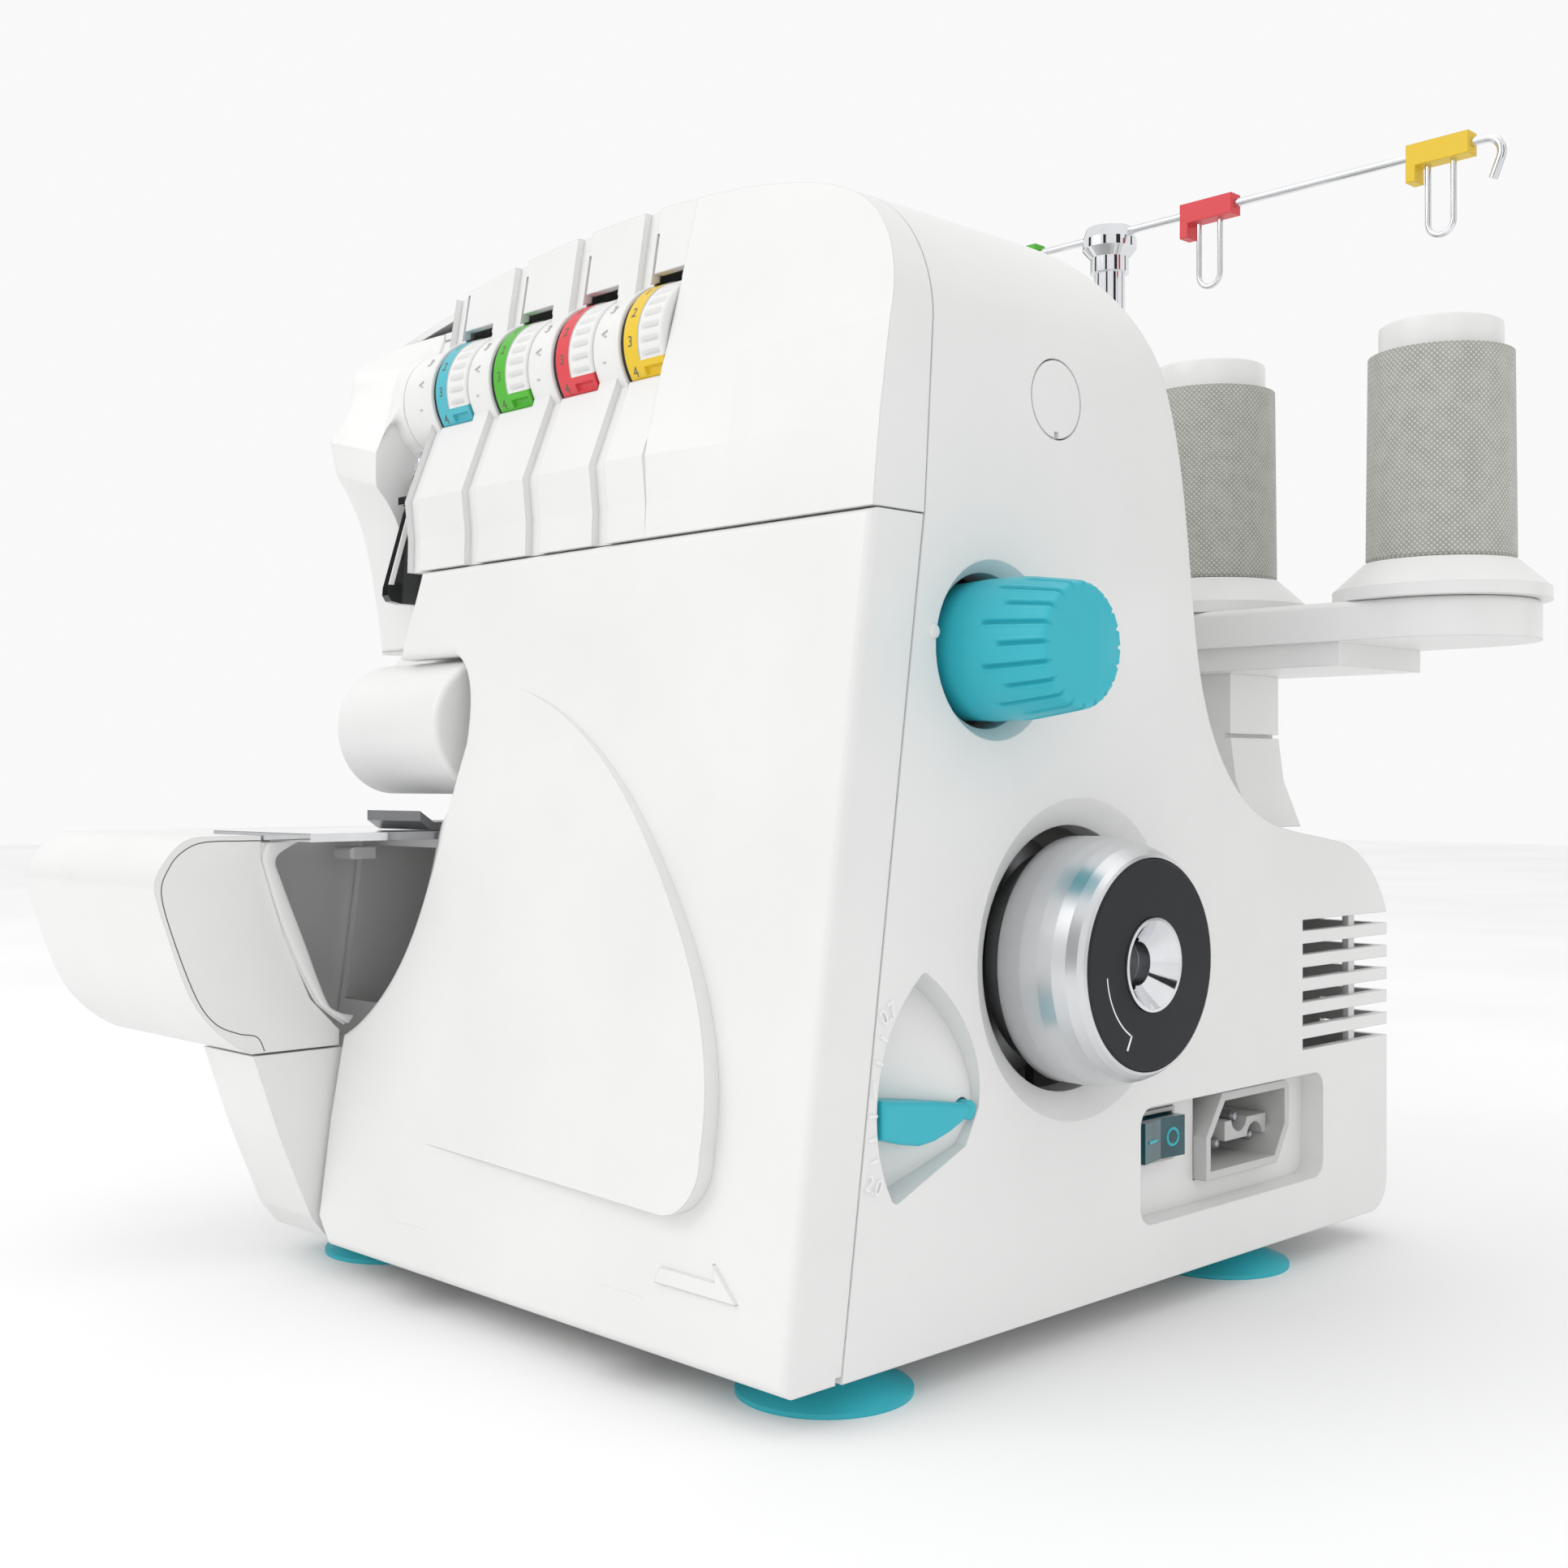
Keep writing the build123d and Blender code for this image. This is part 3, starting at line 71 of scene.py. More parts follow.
class Shader:
    """Principled material whose colour, roughness and bump are built up from textures."""

    def __init__(self, name, metallic=0.0, coat=0.0, sheen=0.0, ior=1.5, transmission=0.0, specular=0.5):
        self.material = bpy.data.materials.new(name)
        self.material.use_nodes = True
        self.tree = self.material.node_tree
        self.tree.nodes.clear()
        self.out = self.node("ShaderNodeOutputMaterial")
        self.bsdf = self.node("ShaderNodeBsdfPrincipled")
        self.link(self.bsdf.outputs[0], self.out.inputs[0])
        values = {"Metallic": metallic, "Coat Weight": coat, "Sheen Weight": sheen, "IOR": ior,
                  "Transmission Weight": transmission, "Specular IOR Level": specular}
        for socket, value in values.items():
            self.bsdf.inputs[socket].default_value = value
        self.position = self.node("ShaderNodeTexCoord").outputs["Object"]
        self.normal = None

    def node(self, kind, **settings):
        made = self.tree.nodes.new(kind)
        for key, value in settings.items():
            setattr(made, key, value)
        return made

    def link(self, source, target):
        self.tree.links.new(source, target)

    def scaled(self, scale):
        """Position stretched by a factor on each axis."""
        mapping = self.node("ShaderNodeMapping")
        mapping.inputs["Scale"].default_value = scale
        self.link(self.position, mapping.inputs["Vector"])
        return mapping.outputs[0]

    def noise(self, scale, detail=2.0, rough=0.5, stretch=(1, 1, 1)):
        noise = self.node("ShaderNodeTexNoise")
        noise.inputs["Scale"].default_value = scale
        noise.inputs["Detail"].default_value = detail
        noise.inputs["Roughness"].default_value = rough
        self.link(self.scaled(stretch), noise.inputs["Vector"])
        return noise.outputs["Fac"]

    def ramp(self, value, low, high, low_at=0.35, high_at=0.65):
        ramp = self.node("ShaderNodeValToRGB")
        ramp.color_ramp.elements[0].position = low_at
        ramp.color_ramp.elements[1].position = high_at
        ramp.color_ramp.elements[0].color = low
        ramp.color_ramp.elements[1].color = high
        self.link(value, ramp.inputs[0])
        return ramp.outputs[0]

    def spread(self, value, low, high):
        """Value from 0..1 moved to low..high."""
        spread = self.node("ShaderNodeMapRange")
        spread.inputs["To Min"].default_value = low
        spread.inputs["To Max"].default_value = high
        self.link(value, spread.inputs["Value"])
        return spread.outputs[0]

    def math(self, kind, first, second):
        made = self.node("ShaderNodeMath", operation=kind)
        for socket, value in zip(made.inputs, (first, second)):
            if isinstance(value, (int, float)):
                socket.default_value = value
            else:
                self.link(value, socket)
        return made.outputs[0]

    def mix(self, factor, first, second, kind="MIX"):
        mix = self.node("ShaderNodeMix", data_type="RGBA", blend_type=kind)
        for socket, value in ((mix.inputs[0], factor), (mix.inputs[6], first), (mix.inputs[7], second)):
            if isinstance(value, (int, float, tuple)):
                socket.default_value = value
            else:
                self.link(value, socket)
        return mix.outputs[2]

    def colour(self, source):
        self.link(source, self.bsdf.inputs["Base Color"])

    def roughness(self, source):
        self.link(source, self.bsdf.inputs["Roughness"])

    def bump(self, height, distance, strength=1.0):
        bump = self.node("ShaderNodeBump")
        bump.inputs["Distance"].default_value = distance
        bump.inputs["Strength"].default_value = strength
        self.link(height, bump.inputs["Height"])
        if self.normal is not None:
            self.link(self.normal, bump.inputs["Normal"])
        self.normal = bump.outputs[0]
        self.link(self.normal, self.bsdf.inputs["Normal"])

    def rounded(self, radius):
        """Softens crisp edges by this radius before any bump is added."""
        bevel = self.node("ShaderNodeBevel", samples=4)
        bevel.inputs["Radius"].default_value = radius
        self.normal = bevel.outputs[0]
        self.link(self.normal, self.bsdf.inputs["Normal"])


def tint(colour, factor):
    return tuple(min(1.0, v * factor) for v in colour[:3]) + (1.0,)


def moulded(name, code, rough=0.35, grain=0.00002, edge=0.0005, spread=0.03, coat=0.0):
    """Injection moulded plastic: faint flow marks, spark grain, handling haze in the gloss."""
    shader = Shader(name, coat=coat)
    colour = srgb(code)
    if edge:
        shader.rounded(edge)
    flow = shader.noise(14, 4, 0.55)
    shader.colour(shader.ramp(flow, tint(colour, 1 - spread), tint(colour, 1 + spread / 2)))
    haze = shader.noise(45, 5, 0.6)
    shader.roughness(shader.spread(haze, rough - 0.06, rough + 0.08))
    shader.bump(shader.noise(2600, 2, 0.5), grain)
    shader.bump(shader.noise(38, 2, 0.5), 0.00006, 0.5)
    return shader.material


def metal(name, code, rough=0.2, brushed=None, spread=0.05, grain=0.000006):
    """Plated, turned or ground metal; brushed gives how far its marks stretch along each axis."""
    shader = Shader(name, metallic=1.0)
    colour = srgb(code)
    shader.rounded(0.0002)
    stretch = brushed or (1, 1, 1)
    marks = shader.noise(900 if brushed else 160, 4, 0.6, stretch)
    smear = shader.noise(60, 4, 0.6)
    shader.colour(shader.ramp(smear, tint(colour, 1 - spread), tint(colour, 1 + spread)))
    shader.roughness(shader.spread(shader.math("ADD", marks, smear), rough * 0.7, rough * 1.15))
    shader.bump(marks, grain)
    return shader.material


# ---------------------------------------------------------------- materials
WHITE = moulded("white_shell", "E9E9E8", 0.34)
# Grey plastic of the switch housing and inlet; also the painted shade on the barrel marks.
GREY_AND_MARK_SHADE = moulded("grey_plastic", "C9C9C8", 0.42)
# Dark plastic of the drive belts; also the painted shade in the gap beside each dial.
DARK_AND_GAP_SHADE = moulded("dark_plastic_and_gap_shade", "1C1D1F", 0.45, 0.00004)
ANTHRACITE = metal("anthracite_face", "3F4042", 0.45, (1, 0.05, 0.05), 0.02)
TEAL = moulded("teal_plastic", "2EB6C6", 0.38)
TEAL_RUBBER = moulded("teal_rubber", "2FB3C1", 0.55, 0.00005)
CHROME = metal("chrome", "E4E5E8", 0.06)
SILVER = metal("silver_rim", "DADBDD", 0.27, None, 0.03, 0.00001)
STEEL = metal("ground_steel", "A8A9AB", 0.28, (0.08, 1, 1))
CAST = moulded("cast_frame", "CDCDCC", 0.5, 0.00006, 0.0004, 0.06)
BRONZE = metal("bronze", "B08A4E", 0.4)
DIAL_CODES = {"dial_yellow": "E9C423", "dial_red": "DC4149", "dial_green": "4DB52B", "dial_blue": "4BB7C6"}
DIAL_SLOTS = tuple(DIAL_CODES)
DIAL_COLOURS = [moulded(name, code, 0.4) for name, code in DIAL_CODES.items()]
# Dark grey used as painted shade: round the raised dial figures and along the end plate's seam groove.
PAINTED_SHADE = moulded("engraved_shade", "6E6A60", 0.6)
PRINT = moulded("face_print", "F2F2F2", 0.4, 0.000005, 0)


NET_KNOTS = 168  # knots in the spool net, round a spool


def netted_thread():
    """Wound grey thread under a fine net whose knots are coloured lighter as painted highlights where they
    catch the light.
    """
    shader = Shader("thread_net", sheen=0.25)
    uv = shader.node("ShaderNodeUVMap", uv_map="net").outputs[0]
    split = shader.node("ShaderNodeSeparateXYZ")
    shader.link(uv, split.inputs[0])
    waves = []
    for way in (1, -1):
        across = shader.math("MULTIPLY", split.outputs[0], NET_KNOTS / 2 * math.pi)
        along = shader.math("MULTIPLY", split.outputs[1], way * NET_KNOTS / 2 * math.pi)
        waves.append(shader.math("COSINE", shader.math("ADD", across, along), 0))
    knots = shader.math("MULTIPLY", shader.math("POWER", waves[0], 2), shader.math("POWER", waves[1], 2))
    worn = shader.noise(220, 3, 0.6)
    base = shader.ramp(worn, srgb("9A9B93"), srgb("A9AAA2"))
    # Knots mixed towards a lighter colour: painted highlight.
    shader.colour(shader.mix(knots, base, srgb("D9DAD3")))
    shader.roughness(shader.spread(worn, 0.7, 0.9))
    shader.bump(knots, 0.00012)
    return shader.material


THREAD = netted_thread()


def clear_plastic(name, code, rough, transmission, spread):
    """Translucent moulding: a tinted body with a polished skin."""
    shader = Shader(name, transmission=transmission, ior=1.46, coat=0.4)
    shader.rounded(0.0003)
    cloud = shader.noise(120, 3, 0.55)
    colour = srgb(code)
    shader.colour(shader.ramp(cloud, tint(colour, 1 - spread), tint(colour, 1 + spread)))
    shader.roughness(shader.spread(shader.noise(300, 3), rough, rough + 0.06))
    return shader.material


ROCKER = clear_plastic("rocker_teal", "0E6470", 0.06, 0.55, 0.25)
SMOKED = clear_plastic("smoked", "222426", 0.08, 0.35, 0.1)

for name, node in NODES.items():
    node.data.materials.clear()
    node.data.materials.append(WHITE)
BY_NODE = {
    "suction_feet": TEAL_RUBBER, "stitch_knob": TEAL, "feed_lever": TEAL, "width_lever": WHITE,
    "handwheel_rim": SILVER, "handwheel_face": ANTHRACITE, "handwheel_hub": CHROME,
    "main_frame": CAST, "shaft_bushes": BRONZE, "motor": CAST, "drive_belts": DARK_AND_GAP_SHADE,
    "mast_tube": CHROME, "mast_rod": CHROME, "guide_rail": CHROME, "thread_guides": CHROME,
    "needle_plate": CHROME, "switch_housing": GREY_AND_MARK_SHADE, "power_inlet": GREY_AND_MARK_SHADE, "power_rocker": ROCKER,
    "take_up_guard": SMOKED,
}
STEEL_NODES = (
    "base_screws", "main_shaft", "lower_shaft", "motor_shaft", "hinge_sleeve", "tension_posts", "needle_bar",
    "needles", "presser_bar", "presser_foot", "pivot_pins", "lower_looper", "upper_looper", "upper_knife",
    "lower_knife", "inlet_pins",
)
BY_NODE.update(dict.fromkeys(STEEL_NODES, STEEL))
for name, material in BY_NODE.items():
    NODES[name].data.materials[0] = material


def paint_clips():
    """Gives each guide clip the colour of the tension dial it belongs to."""
    data = NODES["guide_clips"].data
    data.materials.clear()
    for material in DIAL_COLOURS:
        data.materials.append(material)
    place = NODES["guide_clips"].matrix_world
    centres = []
    for index in (1, 2, 3, 4):
        low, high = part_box(f"thread_spool_{index}")
        centres.append((low.x + high.x) / 2)
    for face in data.polygons:
        x = (place @ face.center).x
        face.material_index = min(range(4), key=lambda i: abs(centres[i] - x))


paint_clips()


# ---------------------------------------------------------------- mesh helpers
def finish_piece(piece, body, slot, *replaced):
    """Registers a built piece: its body and the CAD nodes it stands for, which it hides. The slot is not
    used.
    """
    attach(piece, body)
    if replaced:
        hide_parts(*replaced)
    return piece


def new_piece(name, mesh_data, *materials):
    piece = bpy.data.objects.new(name, mesh_data)
    bpy.context.scene.collection.objects.link(piece)
    for material in materials:
        mesh_data.materials.append(material)
    return piece


def grid_mesh(name, rows, closed_round, tag=None, smooth_angle=35):
    """Mesh through rows of points; closed_round joins each row's end to its start."""
    mesh = bmesh.new()
    made = [[mesh.verts.new(p) for p in row] for row in rows]
    width = len(rows[0])
    for i in range(len(rows) - 1):
        for j in range(width if closed_round else width - 1):
            k = (j + 1) % width
            corners = (made[i][j], made[i][k], made[i + 1][k], made[i + 1][j])
            face = mesh.faces.new(corners)
            face.smooth = True
            if tag:
                face.material_index = tag(i, j)
    if closed_round:
        for row, first in ((made[0], True), (made[-1], False)):
            centre = sum((v.co for v in row), Vector()) / len(row)
            if max((v.co - centre).length for v in row) < 1e-6:
                continue
            face = mesh.faces.new(row[::-1] if first else row)
            if tag:
                face.material_index = tag(0 if first else len(rows) - 2, 0)
    bmesh.ops.remove_doubles(mesh, verts=mesh.verts, dist=1e-7)
    bmesh.ops.recalc_face_normals(mesh, faces=mesh.faces)
    data = bpy.data.meshes.new(name)
    mesh.to_mesh(data)
    mesh.free()
    data.set_sharp_from_angle(angle=math.radians(smooth_angle))
    return data


def smooth_profile(points, steps):
    """Catmull-Rom curve through (x, r) points."""
    ends = [points[0]] + list(points) + [points[-1]]
    made = []
    for a, b, c, d in zip(ends, ends[1:], ends[2:], ends[3:]):
        for i in range(steps):
            t = i / steps
            made.append(tuple(
                0.5 * (2 * q + (r - p) * t + (2 * p - 5 * q + 4 * r - w) * t * t
                       + (3 * q - p - 3 * r + w) * t ** 3)
                for p, q, r, w in zip(a, b, c, d)))
    return made + [points[-1]]


def around_x(centre, along, radius, angle):
    """Point round a line along X: angle 0 faces forward, 90 degrees faces up (millimetres)."""
    a = math.radians(angle)
    return at(along, centre[0] - radius * math.cos(a), centre[1] + radius * math.sin(a))


def around_z(centre, height, radius, angle):
    """Point round an upright line (millimetres and degrees)."""
    a = math.radians(angle)
    return at(centre[0] + radius * math.cos(a), centre[1] + radius * math.sin(a), height)


def lettering(name, text, size, depth, place, material, font_scale=(1, 1)):
    """Raised figures; place maps a point of the flat text (mm, mm, mm out) to the object."""
    curve = bpy.data.curves.new(name, "FONT")
    curve.body = text
    curve.size = size
    curve.align_x, curve.align_y = "CENTER", "CENTER"
    curve.resolution_u = 4
    flat = bpy.data.objects.new(name, curve)
    bpy.context.scene.collection.objects.link(flat)
    bpy.context.view_layer.update()
    mesh = bmesh.new()
    mesh.from_mesh(flat.to_mesh())
    bpy.data.objects.remove(flat)
    bmesh.ops.triangulate(mesh, faces=mesh.faces)
    bmesh.ops.subdivide_edges(mesh, edges=[e for e in mesh.edges if e.calc_length() > size / 4], cuts=1)
    top = bmesh.ops.extrude_face_region(mesh, geom=mesh.faces[:])
    for v in (g for g in top["geom"] if isinstance(g, bmesh.types.BMVert)):
        v.co.z += depth
    for v in mesh.verts:
        v.co = place(v.co.x * font_scale[0], v.co.y * font_scale[1], v.co.z)
    bmesh.ops.recalc_face_normals(mesh, faces=mesh.faces)
    data = bpy.data.meshes.new(name)
    mesh.to_mesh(data)
    mesh.free()
    return new_piece(name, data, material)


def joint_centre(name):
    """Hinge position of a joint in millimetres from the datum, as (x, y, z)."""
    x, y, z = JOINTS[name]["pos_m"]
    return ((x - RIGHT_FACE) / MM, (y - FRONT_FACE) / MM, z / MM)


def box_mm(node):
    """Low and high corner of a node in millimetres from the datum."""
    shift = at(0, 0, 0)
    return tuple([v / MM for v in corner - shift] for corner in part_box(node))


# ---------------------------------------------------------------- tension dials
DIAL_RADIUS = 18.25
BARREL_RADIUS = 17.3
RIB_PITCH = 12.0  # degrees from rib to rib
RIB_SHARE = 0.62  # of the pitch that the groove takes
FOOT = (-45, -19)  # the coloured foot of the L, in degrees round the dial
RING_WIDTH = 6.0
DIAL_STATIONS = [
    0, 0.12, 0.3, 0.6, 1.5, 3, 4.5, 5.6, RING_WIDTH, RING_WIDTH + 0.02, 6.5, 6.8, 7.1,
    7.5, 8.0, 9, 10.5, 12, 13, 13.5, 13.9, 14.2, 14.5, 14.8, 15.1, 15.35,
]
DIAL_NUMBERS = (("4", -28), ("3", -2), ("2", 24), ("1", 50), ("0", 76))
BARREL_MARKS = (("dash", "-", -12), ("arrow", "<", 12), ("3", "3", 40))


def dial_radius(u, angle, width):
    """Radius of a dial at a distance from its left end."""
    in_foot = FOOT[0] <= angle <= FOOT[1]
    edge = min(u, width - u) if in_foot else (u if u < RING_WIDTH else width - u)
    if u <= RING_WIDTH + 0.01 or in_foot:
        radius = DIAL_RADIUS - 0.3 * max(0.0, 1 - edge / 0.4) ** 2
        if in_foot and u > RING_WIDTH + 0.8 and u < width - 1.0:
            across = abs(angle - (FOOT[0] + FOOT[1]) / 2 - 3) / 4.0
            radius -= 1.0 * max(0.0, 1 - across ** 4) if across < 1 else 0
        return radius
    # soft saw ribs: a slope that ends in a step
    phase = ((angle - FOOT[1]) % RIB_PITCH) / RIB_PITCH
    into = min(1.0, max(0.0, (u - RING_WIDTH - 0.7) / 1.1), max(0.0, (width - 1.3 - u) / 0.9))
    groove = 0.5 - 0.5 * math.cos(2 * math.pi * min(1.0, phase / RIB_SHARE)) if phase < RIB_SHARE else 0.0
    chamfer = 0.9 * max(0.0, (u - (width - 0.8)) / 0.8) ** 1.5
    return DIAL_RADIUS - 0.3 - 1.35 * groove * into - chamfer


def make_dial(index, colour_material):
    """Tension dial: a coloured ring and foot, white ribs and a dished right end."""
    node = f"tension_dial_{index}"
    low, high = box_mm(node)
    width = high[0] - low[0]
    x, y, z = joint_centre(f"dial_{index}_turn")
    steps = DIAL_STATIONS + [width]
    wrapped = [a if a < 200 else a - 360 for a in range(360)]
    rows = [[around_x((y, z), low[0] + 0.05, 7.0, a) for a in wrapped]]
    for u in steps:
        along = low[0] + min(u, width - 0.02)
        rows.append([around_x((y, z), along, dial_radius(u, a, width), a) for a in wrapped])
    end = [(width - 0.3, 14.2), (width - 1.6, 11.6), (width - 1.6, 3.1), (width - 5.0, 3.0)]
    rows += [[around_x((y, z), low[0] + u, r, a) for a in wrapped] for u, r in end]
    rings = len(steps)

    def tag(row, column):
        if row == 0:
            return 0
        if row > rings:
            return 1 if row <= rings + 1 else 0
        if steps[min(row, rings - 1)] <= RING_WIDTH + 0.01:
            return 0
        return 0 if FOOT[0] <= wrapped[column] < FOOT[1] else 1

    data = grid_mesh(f"dial_{index}_body", rows, True, tag, 40)
    dial = new_piece(f"dial_{index}_body", data, colour_material, WHITE)
    finish_piece(dial, f"dial_{index}", DIAL_SLOTS[index - 1], node)
    for number, angle in DIAL_NUMBERS:
        def place(px, py, pz, angle=angle):
            turn = angle + math.degrees(py / DIAL_RADIUS)
            return around_x((y, z), low[0] + RING_WIDTH / 2 + px, DIAL_RADIUS - 0.02 + pz, turn)
        # The raised figures are coloured dark grey as painted shade.
        figure = lettering(f"dial_{index}_number_{number}", number, 4.2, 0.07, place, PAINTED_SHADE)
        finish_piece(figure, f"dial_{index}", DIAL_SLOTS[index - 1])


def make_barrel_marks(index):
    """Small raised figures on the fixed barrel to the left of each dial, coloured grey as painted shade."""
    middle = box_mm(f"tension_dial_{index}")[0][0] - 9.6
    x, y, z = joint_centre(f"dial_{index}_turn")
    for mark, text, angle in BARREL_MARKS:
        def place(px, py, pz, angle=angle):
            turn = angle + math.degrees(py / BARREL_RADIUS)
            return around_x((y, z), middle + px, BARREL_RADIUS - 0.02 + pz, turn)
        # Grey here is painted shade round raised figures that are white like the barrel.
        figure = lettering(f"barrel_{index}_mark_{mark}", text, 4.4, 0.3, place, GREY_AND_MARK_SHADE)
        finish_piece(figure, "frame", "white_shell")


COLLAR_ARC = (-52, 104)  # the part of the barrel that the upper cover leaves open
# Profiles along the barrel from a dial's left end, (distance, radius).
COLLAR_LIP = [
    (-3.5, 17.0), (-3.5, 17.7), (-3.2, 18.3), (-2.8, 18.6),
    (-2.2, 18.6), (-1.85, 18.4), (-1.75, 18.0), (-1.75, 17.0),
]
COLLAR_GAP = [(-1.74, 17.0), (-1.74, 17.5), (-0.12, 17.5), (-0.12, 17.0)]


def make_dial_collar(index):
    """Raised lip round the barrel left of a dial, with a dark ring as painted shade in the gap the dial turns
    in.
    """
    left = box_mm(f"tension_dial_{index}")[0][0]
    x, y, z = joint_centre(f"dial_{index}_turn")
    start, end = COLLAR_ARC
    angles = [start + (end - start) * i / 78 for i in range(79)]
    # The gap ring is coloured dark as painted shade in the gap.
    for part, profile, material in (("lip", COLLAR_LIP, WHITE), ("gap", COLLAR_GAP, DARK_AND_GAP_SHADE)):
        rows = [[around_x((y, z), left + u, r, a) for u, r in profile] for a in angles]
        name = f"dial_{index}_{part}"
        finish_piece(new_piece(name, grid_mesh(name, rows, True, None, 50), material), "frame", "white_shell")


# ---------------------------------------------------------------- left wing of the head
# Sections of the wing from its top to its foot, (y, z): at the outer end, at the crease and at the barrel.
WING_OUTER = [
    (49.4, 288), (39.5, 282), (33.2, 277.6), (31.8, 274), (31.4, 269), (28.6, 262),
    (25.4, 256.6), (23.9, 254.1), (24.2, 252.6), (25.0, 248.4), (25.9, 244.4), (26.8, 242.8),
    (30.6, 237), (34.6, 229), (37.4, 220), (39.8, 209), (41.8, 197), (42.9, 188.4),
]
WING_CREASE = [
    (50, 288), (45, 281.6), (40.6, 278.6), (38.4, 275.4), (36.6, 270), (34.6, 262),
    (32.4, 254.6), (30.3, 249.6), (30.1, 248.4), (30.0, 244), (30.1, 239.2), (30.9, 237.6),
    (34.2, 233.6), (37.6, 228), (39.8, 221), (41.2, 209), (41.8, 197), (42, 188.4),
]
WING_BARREL = [
    (50.6, 288), (48, 281.3), (43.9, 279.5), (41, 277.4), (38.2, 274.2), (36.2, 270.4),
    (35.3, 266), (35.2, 262), (36.2, 258.4), (39, 253.6), (42.6, 250.2), (44.3, 247.4),
    (44.2, 241), (43.6, 233), (42.8, 222), (41.8, 209), (40.9, 197), (40.3, 188.4),
]
WING_SEAM = [(43.4, 187.9), (46.3, 209.4), (49.2, 254), (50.7, 288.4)]
WING_PANEL_FROM = 8  # the sections' points from here down drop to the recessed panel at the crease
WING_OUTER_X, WING_CREASE_X, WING_BARREL_X = -232.0, -214.0, -207.0
WING_STATIONS = [
    -231.9, -231.6, -231, -229, -226, -222, -218, -215, -214.3, -214, -213.6, -213.2,
    -212.8, -212, -211, -210, -209, -208, -207, -206.4, -206.2, -200, -194.7,
]


def blend(first, second, weight):
    return tuple(a + (b - a) * weight for a, b in zip(first, second))


def wing_section(x):
    """Outline of the wing at one x."""
    if x <= WING_CREASE_X:
        weight = (x - WING_OUTER_X) / (WING_CREASE_X - WING_OUTER_X)
        return [blend(a, b, weight) for a, b in zip(WING_OUTER, WING_CREASE)]
    ease = min(1.0, (x - WING_CREASE_X) / (WING_BARREL_X - WING_CREASE_X))
    ease = ease * ease * (3 - 2 * ease)
    made = []
    for i, (a, b) in enumerate(zip(WING_CREASE, WING_BARREL)):
        drop = min(1.0, max(0.0, (i - WING_PANEL_FROM + 2) / 2))  # 0 above the crease, 1 below it
        quick = min(1.0, (x - WING_CREASE_X) / 1.2)
        made.append(blend(a, b, ease + (max(quick, ease) - ease) * drop))
    return made


def make_wing():
    """Left wing: a swept-back lip that runs smoothly into the dial barrel, over a recessed panel."""
    rows = []
    for x in WING_STATIONS:
        section = smooth_profile(wing_section(x), 5)
        round_off = max(0.0, (0.9 + WING_STATIONS[0] - x) / 0.9)  # soft outer edge
        under_barrel = 0.7 if x > -206.3 else 0.0  # clear of the upper cover's own barrel
        section = [(y + 0.5 * round_off ** 2 + under_barrel, z) for y, z in section]
        section = [(min(y, 43.2 + (z - 187.4) * 0.15), z) for y, z in section]
        rows.append([at(x, y, z) for y, z in section] + [at(x, y, z) for y, z in WING_SEAM])
    wing = new_piece("left_wing", grid_mesh("left_wing", rows, True, None, 32), WHITE)
    finish_piece(wing, "frame", "white_shell", "left_cover")
    panel_low, panel_high = -206.6, box_mm("left_cover")[1][0] - 0.05
    front = WING_BARREL[11:]
    back = [(43.4, 187.9), (46.3, 209.4), (48.4, 246)]
    stations = (panel_low, panel_low + 0.3, panel_high - 0.3, panel_high)
    rows = [[at(x, y, z) for y, z in front + back] for x in stations]
    panel = new_piece("left_wing_panel", grid_mesh("left_wing_panel", rows, True, None, 32), WHITE)
    finish_piece(panel, "frame", "white_shell")


# ---------------------------------------------------------------- cloth arm and looper bay
# Outlines on the end plate, (y, z) from the top down, and the lip's section as (share of its width, rise).
ARM_SEAM = [
    (-13.2, 128.4), (-21.9, 128.5), (-34.2, 128.3), (-40.6, 125.6), (-44.4, 121.2), (-46.6, 114.4),
    (-43.2, 101.8), (-36.2, 84.3), (-30.4, 76.4), (-23.4, 72.9), (-17.3, 71.3), (-14.9, 67),
]
LIP_OUTER = [
    (-14.3, 128.0), (-15.6, 124.0), (-14.8, 119.5), (-8.4, 101.2),
    (1.1, 81.9), (5.7, 76.9), (11.9, 72.8),
]
LIP_INNER = [
    (-3.9, 128.2), (-11.7, 123.4), (-10.0, 116.4), (-2.8, 98.9),
    (4.6, 80.6), (8.6, 76.7), (13.9, 75.2),
]
LIP_SECTION = [
    (-0.2, -1.9), (-0.2, -1.0), (0.0, -0.9), (0.0, 0.35), (0.06, 0.8), (0.2, 1.0), (0.8, 1.0), (0.94, 0.8),
    (1.0, 0.35), (1.0, -1.9),
]
LIP_X = -201.2
SEAM_HALF = 0.16  # half the seam's width


def make_arm_seam():
    """Thin dark line that outlines the cloth arm's end plate: painted shade in the seam's groove."""
    high = box_mm("arm_extension")[1]
    path = smooth_profile(ARM_SEAM, 6)
    rows = []
    for i, (y, z) in enumerate(path):
        before, after = path[max(0, i - 1)], path[min(len(path) - 1, i + 1)]
        along = Vector((after[0] - before[0], after[1] - before[1])).normalized()
        side = Vector((-along.y, along.x)) * SEAM_HALF
        rows.append([at(high[0] + out, y + side.x * k, z + side.y * k)
                     for k, out in ((-1, -0.05), (-1, 0.03), (1, 0.03), (1, -0.05))])
    # The strip is coloured dark grey as painted shade in the seam groove.
    seam = new_piece("arm_end_seam", grid_mesh("arm_end_seam", rows, True, None, 30), PAINTED_SHADE)
    finish_piece(seam, "cloth_arm", "white_shell")


